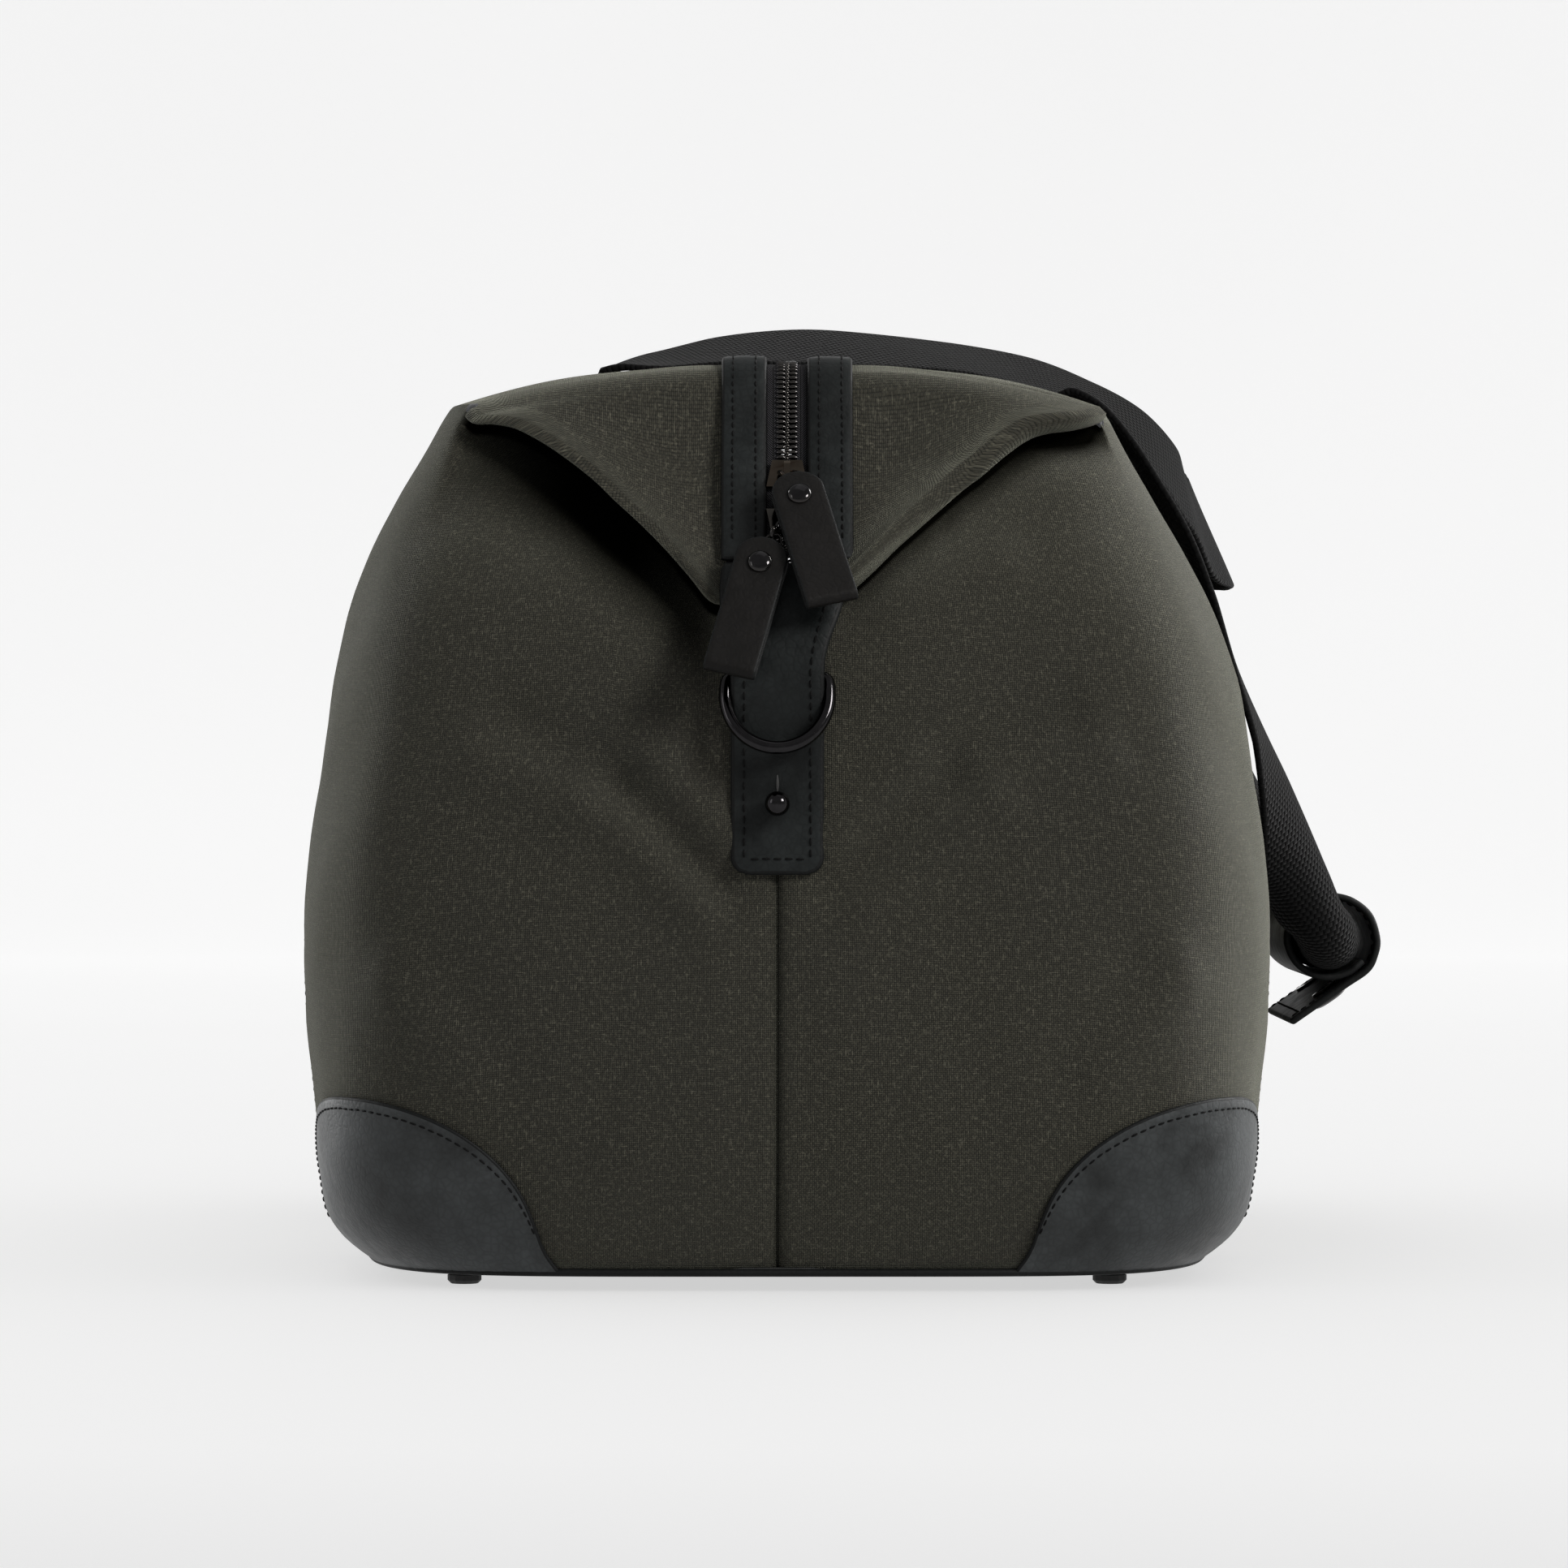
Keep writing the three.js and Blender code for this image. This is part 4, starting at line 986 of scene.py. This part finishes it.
GRIP = (172.0, 98.0)  # the middle of the wrap, as (x, z)
# The wrap's roll as (angle in degrees, radius)
GRIP_TURNS = [(-38, 12.4), (-62, 12.2), (-90, 12.2), (-118, 12.5), (-149, 13.1), (-180, 13.6), (-211, 13.5),
              (-242, 13.3), (-270, 13.3), (-298, 13.8), (-329, 14.5), (-360, 14.9), (-380, 15.1),
              (-400, 15.3)]


def grip():
    turns = [(math.radians(a), r) for a, r in GRIP_TURNS]
    path = [(GRIP[0] + r * math.cos(a), 0, GRIP[1] + r * math.sin(a)) for a, r in turns]
    flap = unit(np.array([-0.82, 0, -0.57]))
    last = np.array(path[-1])
    path += [last + flap * 9, last + flap * 28.4]
    line = spline(path, 90)
    y = np.linspace(49.4, -49.4, 30)
    g = line[:, None] + np.array([0.0, 1, 0]) * y[None, :, None]
    build = Build()
    top, n = thick_sheet(build, g, 2.2, 0, 1)
    for share in (0.035, 0.965):
        a, out = grid_line(top, n, share, start=34, lift=-0.04)
        stitches(build, a, out, 3.4, 2, thread=0.3)
    a, out = grid_line(top.transpose(1, 0, 2), n.transpose(1, 0, 2), 0.972, lift=-0.04)
    stitches(build, a[1:-1], out[1:-1], 3.4, 2, thread=0.3)
    build.object("leather_grip", TRIM, "handle_front", ["grip_wrap"])
    outward = np.array([-flap[2], 0, flap[0]])
    for end, sy in ENDS.items():
        seat = last + flap * 14 + np.array([0, sy * 34, 0])
        cap = Build()
        dome = [(0, 0), (5.7, 0), (6, 0.35), (5.9, 0.8), (5.2, 1.25), (4, 1.5), (2, 1.65), (0, 1.7)]
        lathe(cap, dome, seat + outward * 1.2, outward)
        cap.object(f"snap_{end}", [NICKEL], "handle_front", [f"snap_cap_{end}"], sharp=40)
        socket = Build()
        ring = [(0, 0), (4.3, 0), (4.5, 0.3), (4.3, 0.8), (2.6, 0.95), (2.2, 0.4), (0, 0.4)]
        lathe(socket, ring, seat - outward * 1.2, -outward)
        stands_for = [f"snap_socket_{end}"]
        socket.object(f"snap_back_{end}", [NICKEL], "handle_front", stands_for, sharp=40)


def patches():
    for across, sx in SIDES.items():
        for end, sy in ENDS.items():
            count = 64
            grid = []
            for i in range(-count, count + 1):
                p = math.sin(i / count * math.pi / 2) * 0.985
                cx = sx * (1 + p * 0.48 if p < 0 else 1)
                cy = sy * (1 if p < 0 else 1 - p * 0.31)
                height = 49 * (1 - abs(p) ** 2.4) ** (1 / 2.4)
                z = SEAM_Z + 0.4 + height * np.linspace(0, 1, 16)
                c = outline(cx, cy, z)
                n = outline_normal(cx, cy, z)
                grid.append(settle(c, n))
            g = np.array(grid)
            if sx * sy > 0:
                g = g[::-1]
            g = smooth_rows(smooth_rows(g, 2), 1, axis=1)
            build = Build()
            top, n = thick_sheet(build, g, 1.5, 0, 1, middle=0.8)
            s = np.array([arc_lengths(c) for c in top])
            line, out = [], []
            for k in range(3, len(top) - 3):
                total = s[k][-1]
                if total < 5:
                    continue
                at = total - 2.6
                line.append([np.interp(at, s[k], top[k][:, i]) for i in range(3)])
                out.append([np.interp(at, s[k], n[k][:, i]) for i in range(3)])
            stitches(build, np.array(line) - 0.04 * np.array(out), out, 2.9, 2, thread=0.28)
            build.object(f"patch_{across}_{end}", [PATCH_LEATHER, EDGE_LEATHER, THREAD], "bag",
                         [f"corner_patch_{across}_{end}"])


def base():
    shares = [(c, 1.0) for c in np.linspace(-1, 1, 40)]
    shares += [(1.0, c) for c in np.linspace(1, -1, 70)[1:]]
    shares += [(c, -1.0) for c in np.linspace(1, -1, 40)[1:]]
    shares += [(-1.0, c) for c in np.linspace(-1, 1, 70)[1:-1]]
    rim = np.array([outline(cx, cy, np.array([SEAM_Z]))[0] for cx, cy in shares])
    build = Build()
    rings = []
    for share in [1, 0.985, 0.96, 0.92, 0.8, 0.6, 0.4, 0.2, 0.04]:
        ring = rim * [share, share, 0]
        ring[:, 2] = 3.9 + 1.9 * smoothstep(share, 0.9, 1.0) - 0.35 * (1 - share) + 0.2 * waves(ring, 90, 31)
        rings.append(ring)
    lower = np.array(rings)
    upper = lower[::-1] + [0, 0, 1.2]
    g = np.vstack([upper, lower])
    count = len(rim)
    faces = quads(len(g), count, close_cols=True)
    faces.append(tuple(range(count)))
    faces.append(tuple((len(g) - 1) * count + k for k in reversed(range(count))))
    build.add(g, faces, g[..., :2], 0)
    seam = rim + [0, 0, -0.6]
    tube(build, seam * [1.004, 1.002, 1], 1.15, 1, sides=10, closed=True)
    build.object("base_cloth", [BASE, EDGE_LEATHER], "bag", ["base_panel"])


def zip_line(x, start, stop, count, lift=0.0):
    """Points along the zip at distance x from its middle, with the surface's outward normals."""
    fine = np.linspace(start, stop, 3000)
    p = np.stack([x + 0 * fine, fine, crest(fine)], axis=-1)
    p = resample(p, count)
    t = unit(np.gradient(p, axis=0))
    n = np.stack([0 * t[:, 0], -t[:, 2], t[:, 1]], axis=-1)
    n = n * np.where(n[:, 2:] < 0, -1, 1)
    return p + n * lift, n


def zip_grid(side, x0, x1, start, count, cols, lift):
    xs = np.linspace(x0, x1, cols) if side > 0 else np.linspace(-x1, -x0, cols)
    xs = xs[::-1]
    return np.array([zip_line(x, -start, start, count, lift)[0] for x in xs]).transpose(1, 0, 2)


TOOTH_HEAD = [(0.75, -0.4), (0.3, -0.05), (-0.1, 0.0), (-0.4, -0.3)]  # across the chain, and up


def zipper():
    for across, side in SIDES.items():
        tape = Build()
        g = zip_grid(side, 2.2, 17.2, 240.4, 260, 9, -1.05)
        if grid_normals(g)[130, 4][2] < 0:
            g = g[:, ::-1]
        thick_sheet(tape, g, 0.8)
        tape.object(f"tape_{across}", [TAPE], "bag", [f"zip_tape_{across}"])

        trim = Build()
        g = zip_grid(side, 7.0, 18.2, 239.2, 300, 9, 0.0)
        if grid_normals(g)[150, 4][2] < 0:
            g = g[:, ::-1]
        flare = np.linspace(-1, 1, 9)[None, :, None] ** 2
        n = grid_normals(g)
        g = g + n * (0.35 * waves(g, 34, 13 + side)[..., None] * 0.5 - 0.25 * flare)
        top, n = thick_sheet(trim, g, 1.8, 0, 1, middle=0.85)
        for share in (0.2, 0.78):
            line, out = grid_line(top, n, share, start=3, stop=-3, lift=-0.05)
            stitches(trim, line, out, 2.9, 2, thread=0.3)
        trim.object(f"leather_binding_{across}", TRIM, "bag", [f"binding_{across}"])

        teeth = Build()
        p, n = zip_line(0.0, -238.5, 238.5, int(560 / 1.8))
        t = unit(np.gradient(p, axis=0))
        x = np.array([1.0, 0, 0]) * side
        rung_at = np.linspace(0, 1, 6)
        for place, up, on in zip(p, n, t):
            rung = [place + x * (3.0 - 2.55 * w) + up * (0.3 * math.sin(math.pi * w) - 0.45) for w in rung_at]
            tube(teeth, rung, [0.46, 0.62, 0.64, 0.62, 0.56, 0.4], 0, sides=8)
            head = [place + x * a + up * b + on * (0.45 * side) for a, b in TOOTH_HEAD]
            tube(teeth, head, [0.3, 0.44, 0.44, 0.3], 0, sides=8)
        cord, _ = zip_line(side * 2.75, -238.7, 238.7, 300, -0.75)
        tube(teeth, cord, 0.42, 1, sides=6)
        teeth.object(f"teeth_{across}", [TEETH, TAPE], "bag", [f"zip_teeth_{across}"], sharp=60)


# The end tab from its tip to its top: (y, z, half width)
TAB = [(-251.4, 122.1, 12.2), (-251.2, 134, 12.2), (-251.3, 147, 12.2), (-251.5, 156, 12.2),
       (-252.0, 162, 12.2), (-252.9, 168, 12.2), (-253.8, 173, 12.2), (-254.2, 178, 12.2),
       (-253.8, 184, 12.6), (-252.2, 190, 14.0), (-250.3, 194.5, 15.4), (-248.5, 198.6, 16.4),
       (-245.4, 204.4, 17.0), (-241.9, 209.6, 17.0)]
TAB_ROWS = 110


def end_place(points, end):
    """Turns points drawn for the near end to the far end where asked."""
    points = np.asarray(points, float)
    return points if end == "near" else points * [-1, -1, 1]


def tab_sheet(build, end):
    """The leather strip that hangs from under the zip's end, stitched along its edges and round its tip."""
    cols = 13
    fine = resample(spline(TAB, 160), TAB_ROWS)
    g = np.zeros((len(fine), cols, 3))
    for i, (y, z, half) in enumerate(fine):
        rise = z - fine[0][1]
        if rise < 4:
            half = half - (4 - math.sqrt(16 - (4 - rise) ** 2))
        k = np.linspace(-1, 1, cols)
        g[i, :, 0] = k * half + (lean_x(z) if end == "near" else 0)
        g[i, :, 1] = y - 0.25 * (1 - k ** 2) + 0.5 * smoothstep(z, 190, 200) * k ** 2
        g[i, :, 2] = z
    g = end_place(g, end)
    if grid_normals(g)[40, 6][1] * ENDS[end] < 0:
        g = g[:, ::-1]
    top, n = thick_sheet(build, g, 2.5, 0, 1)
    for share in (0.11, 0.89):
        line, out = grid_line(top, n, share, start=4, stop=-1, lift=-0.05)
        stitches(build, line, out, 3.2, 2, thread=0.32)
    turned = top.transpose(1, 0, 2), n.transpose(1, 0, 2)
    line, out = grid_line(*turned, 4.0 / (TAB_ROWS - 1), start=2, stop=-2, lift=-0.05)
    stitches(build, line, out, 3.2, 2, thread=0.32)


def end_fittings():
    for end in ENDS:
        shift = (lambda z: float(lean_x(z))) if end == "near" else (lambda z: 0.0)
        strip = Build()
        tab_sheet(strip, end)
        slit = [(shift(STUD_Z), -252.75, STUD_Z + 3.4 + k * 0.8) for k in range(7)]
        tube(strip, end_place(slit, end), [0.18, 0.34, 0.42, 0.45, 0.42, 0.34, 0.18], 3, sides=8)
        stands_for = [f"tab_base_{end}", f"tab_{end}"]
        tab = strip.object(f"leather_tab_{end}", TRIM + [RUBBER], None, stands_for)
        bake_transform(tab)

        ring = []
        drop, half = 20.1, 14.9
        for x, fall in [(-half + 3, 0), (0, 0), (half - 3, 0), (half - 0.5, 0.9)]:
            ring.append((x, fall))
        for w in np.linspace(0, math.pi, 15):
            ring.append((half * math.cos(w), drop - half + half * math.sin(w)))
        ring.append((-half + 0.5, 0.9))
        pts = [(x + shift(RING_Z - f * 0.6), -251.2 - 8.1 * f / drop, RING_Z - f) for x, f in ring]
        wire = Build()
        tube(wire, end_place(spline(pts, 96, closed=True), end), 1.9, 0, sides=20, closed=True)
        wire.object(f"ring_{end}", [NICKEL], f"d_ring_{end}", [f"d_ring_{end}"])

        ball = [(0, 0), (1.6, 0), (1.6, 3.4), (4, 3.4), (4.2, 3.7), (4.2, 4.5), (3.8, 4.8), (2.0, 5.1)]
        ball.append((1.9, 8.0))
        for w in np.linspace(0.2 * math.pi, math.pi, 20):
            ball.append((3.6 * math.sin(w), 10.9 - 3.6 * math.cos(w)))
        stud = Build()
        place = end_place([shift(STUD_Z), -246.7, STUD_Z], end)
        lathe(stud, ball, place, end_place([0, -1, 0], end), 0, sides=44)
        stud.object(f"ball_stud_{end}", [NICKEL], "bag", [f"stud_{end}"], sharp=40)
        screw = Build()
        head = [(0, 0), (4.3, 0), (4.5, 0.25), (4.5, 0.8), (4.1, 1.1), (0, 1.15)]
        lathe(screw, head, end_place([0, -245.4, STUD_Z], end), end_place([0, 1, 0], end), 0, sides=32)
        screw.object(f"screw_{end}", [NICKEL], "bag", [f"stud_screw_{end}"], sharp=40)


PULLS = {
    "a": dict(z=236.5, lean=36, tilt=-14, offset=(3.6, -4.8, -13.9), below=39.0,
              bail=[(0, 0, 0), (2.2, -0.2, -0.6), (3.2, -3.4, -3.4), (4.6, -4.8, -6.6), (6, -4.8, -13.2),
                    (4.6, -4.8, -16.9), (2.3, -4.8, -15.2), (0.4, -4.8, -8), (-1.6, -3.4, -3.4),
                    (-2.2, -0.2, -0.6)]),
    "b": dict(z=222.0, lean=29, tilt=14, offset=(-7.8, -5, -18.3), below=37.0,
              bail=[(0, 0, 0), (2.1, -0.2, -0.8), (1.8, -1.6, -3.2), (-1.6, -3.6, -5.2), (-3.9, -7.1, -7.2),
                    (-4.6, -5, -9.6), (-4.9, -3.1, -7.2), (-3.2, -1.6, -3.8), (-2.1, -0.2, -0.8)]),
}
PULL_WIDTH = 14.0
PULL_ABOVE = 8.0  # from the rivet to the top
PULL_LAYER = 1.3
PULL_GAP = 1.9  # between the two layers
LINK_TURN = 0.436


def pull_frames(spec):
    """Functions that place points in the frame a pull hangs in and in its leather's own, and its way out."""
    lean, tilt = math.radians(spec["lean"]), math.radians(spec["tilt"])
    origin = np.array([0, -247 + (spec["z"] - FOLD_Z) / FLAP_SLOPE, spec["z"]]) + FLAP_OUT * 2.65
    ex, ey = np.array([1.0, 0, 0]), np.array([0, math.cos(lean), -math.sin(lean)])
    ez = np.array([0, math.sin(lean), math.cos(lean)])

    def hang(p):
        p = np.asarray(p, float)
        return origin + p[..., 0:1] * ex + p[..., 1:2] * ey + p[..., 2:3] * ez

    def leather(p):
        p = np.asarray(p, float)
        x = p[..., 0] * math.cos(tilt) + p[..., 2] * math.sin(tilt)
        z = -p[..., 0] * math.sin(tilt) + p[..., 2] * math.cos(tilt)
        return hang(np.stack([x, p[..., 1], z], axis=-1) + spec["offset"])

    return hang, leather, ey


def pull_strip(below):
    """The folded strip of leather: down the front, round the bend and up the back."""
    y = (PULL_GAP + PULL_LAYER) / 2
    low = -below
    front = [(y, z) for z in np.linspace(PULL_ABOVE, low + 6, 40)]
    turn = np.linspace(0, math.pi, 13)
    bend = [(y * math.cos(w), low + y + PULL_LAYER / 2 - y * math.sin(w)) for w in turn]
    half = PULL_WIDTH / 2
    g = []
    for py, z in front + bend + [(-a, b) for a, b in front[::-1]]:
        into = half - (PULL_ABOVE - z)
        reach = half if into <= 0 else min(half, math.sqrt(max(half ** 2 - into ** 2 + 2.6, 0.4)))
        bow = 0.5 * math.sin(math.pi * float(smoothstep(-z, 6, -low)))
        g.append([(reach * k, py + bow, z) for k in np.linspace(-1, 1, 11)])
    return g


def pulls():
    for letter, spec in PULLS.items():
        body = f"pull_{letter}"
        hang, leather, toward = pull_frames(spec)
        wire = Build()
        tube(wire, hang(spline(spec["bail"], 90, closed=True)), 0.75, 0, sides=12, closed=True)
        metal = BRONZE if letter == "a" else NICKEL
        wire.object(f"wire_{letter}", [metal], body, [f"bail_{letter}"])

        g = leather(pull_strip(spec["below"]))
        if np.dot(grid_normals(g)[20, 5], toward) < 0:
            g = g[:, ::-1]
        build = Build()
        thick_sheet(build, g, PULL_LAYER, 0, 1)
        build.object(f"leather_pull_{letter}", [PULL_LEATHER, EDGE_LEATHER], body, [body])

        face = PULL_GAP / 2 + PULL_LAYER
        shank = [(0, -face - 0.7), (2.9, -face - 0.7), (3.3, -face - 0.4), (3.3, -face), (1.1, -face)]
        shank.append((1.1, face))
        cap = [(3.4, 0), (3.5, 0.3), (3.3, 0.8), (2.6, 1.3), (1.5, 1.6), (0, 1.7)]
        post = Build()
        axis = leather([0, -1, 0]) - leather([0, 0, 0])
        profile = shank + [(r, face + h) for r, h in cap]
        lathe(post, profile, leather([0.0, 0, 0]), axis, 0, sides=36)
        post.object(f"post_{letter}", [NICKEL], body, [f"rivet_{letter}"], sharp=40)
        if letter == "b":
            c, s = math.cos(LINK_TURN), math.sin(LINK_TURN)
            angles = np.linspace(0, 2 * math.pi, 40, endpoint=False)
            oval = [(3.1 * math.cos(w), 6.7 * math.sin(w)) for w in angles]
            loop = [(-5.6 + u * c + v * s, -5, -14 - u * s + v * c) for u, v in oval]
            link = Build()
            tube(link, hang(loop), 0.55, 0, sides=10, closed=True)
            link.object("link_b", [NICKEL], body, ["ring_b"])


CARRIED = {"base_board": BOARD, "slider_a": BRONZE, "slider_b": NICKEL}


def carried_over():
    """Gives every CAD solid that stays its material and slightly rounded edges."""
    for name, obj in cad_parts.items():
        if obj.hide_render:
            continue
        is_foot = name.startswith("foot_") and "washer" not in name
        material = CARRIED.get(name, RUBBER if is_foot else NICKEL)
        if not obj.material_slots:
            obj.data.materials.append(material)
        for slot in obj.material_slots:
            slot.material = material
        soft = obj.modifiers.new("edges", "BEVEL")
        soft.width = 0.00025
        soft.segments = 3
        soft.limit_method = "ANGLE"
        soft.angle_limit = math.radians(35)
        soft.harden_normals = False


# ---------------------------------------------------------------------------------------------------------
# Floor, light and camera

def stage():
    """A round bowl of a floor, so that the bag has the same backdrop from every side."""
    profile = [(0.02, 0), (1.2, 0), (2.6, 0), (3.6, 0)]
    profile += [(3.6 + 1.2 * math.sin(w), 1.2 - 1.2 * math.cos(w)) for w in np.linspace(0.1, math.pi / 2, 14)]
    profile += [(4.8, 2.4)]
    verts, sides = [], 96
    for r, h in profile:
        for k in range(sides):
            angle = 2 * math.pi * k / sides
            verts.append((r * math.cos(angle), r * math.sin(angle), h))
    mesh = bpy.data.meshes.new("floor")
    mesh.from_pydata(verts, [], quads(len(profile), sides, close_cols=True) + [tuple(range(sides))])
    mesh.materials.append(floor_material())
    mesh.shade_smooth()
    floor = bpy.data.objects.new("floor", mesh)
    bpy.context.scene.collection.objects.link(floor)


def area_light(name, place, aim, size, power, colour=(1, 1, 1)):
    light = bpy.data.lights.new(name, "AREA")
    light.shape = "RECTANGLE"
    light.size, light.size_y = size
    light.energy = power
    light.color = colour
    obj = bpy.data.objects.new(name, light)
    bpy.context.scene.collection.objects.link(obj)
    obj.location = place
    direction = Vector(aim) - Vector(place)
    obj.rotation_euler = direction.to_track_quat("-Z", "Y").to_euler()
    return obj


def lights():
    scene = bpy.context.scene
    scene.view_settings.view_transform = "Standard"
    scene.view_settings.look = "None"
    world = bpy.data.worlds.new("studio")
    scene.world = world
    world.use_nodes = True
    sky = world.node_tree.nodes["Background"]
    sky.inputs["Color"].default_value = (1, 1, 1, 1)
    sky.inputs["Strength"].default_value = 0.45
    lamps = [
        area_light("key", (1.6, -1.4, 1.3), (0, 0, 0.14), (0.7, 0.7), 62, (1, 0.985, 0.965)),
        area_light("fill_left", (-1.9, -1.2, 0.9), (0, 0, 0.14), (0.6, 1.1), 6),
        area_light("rim_right", (1.5, 0.55, 0.9), (0, 0, 0.15), (0.6, 1.4), 48),
        area_light("rim_left", (-1.5, 0.85, 0.7), (0, 0, 0.12), (0.6, 1.4), 27),
        area_light("top", (0.2, -0.1, 2.2), (0, 0, 0.1), (1.2, 1.2), 2),
    ]
    unlit = bpy.data.collections.new("unlit_by_lamps")
    unlit.objects.link(bpy.data.objects["floor"])
    unlit.collection_objects[0].light_linking.link_state = "EXCLUDE"
    for lamp in lamps:
        lamp.light_linking.receiver_collection = unlit


def camera():
    data = bpy.data.cameras.new("camera")
    data.sensor_width = 36
    data.lens = 155.9
    data.clip_end = 50
    cam = bpy.data.objects.new("camera", data)
    bpy.context.scene.collection.objects.link(cam)
    cam.location = (BODY_X * 0.001 - 0.0009, BODY_Y * 0.001 - 2.2, 0.147)
    cam.rotation_euler = (math.radians(90), 0, 0)
    bpy.context.scene.camera = cam


stage()
lights()
camera()
CANVAS_TREE = body_panels()
straps()
handles()
grip()
patches()
base()
zipper()
end_fittings()
pulls()
carried_over()
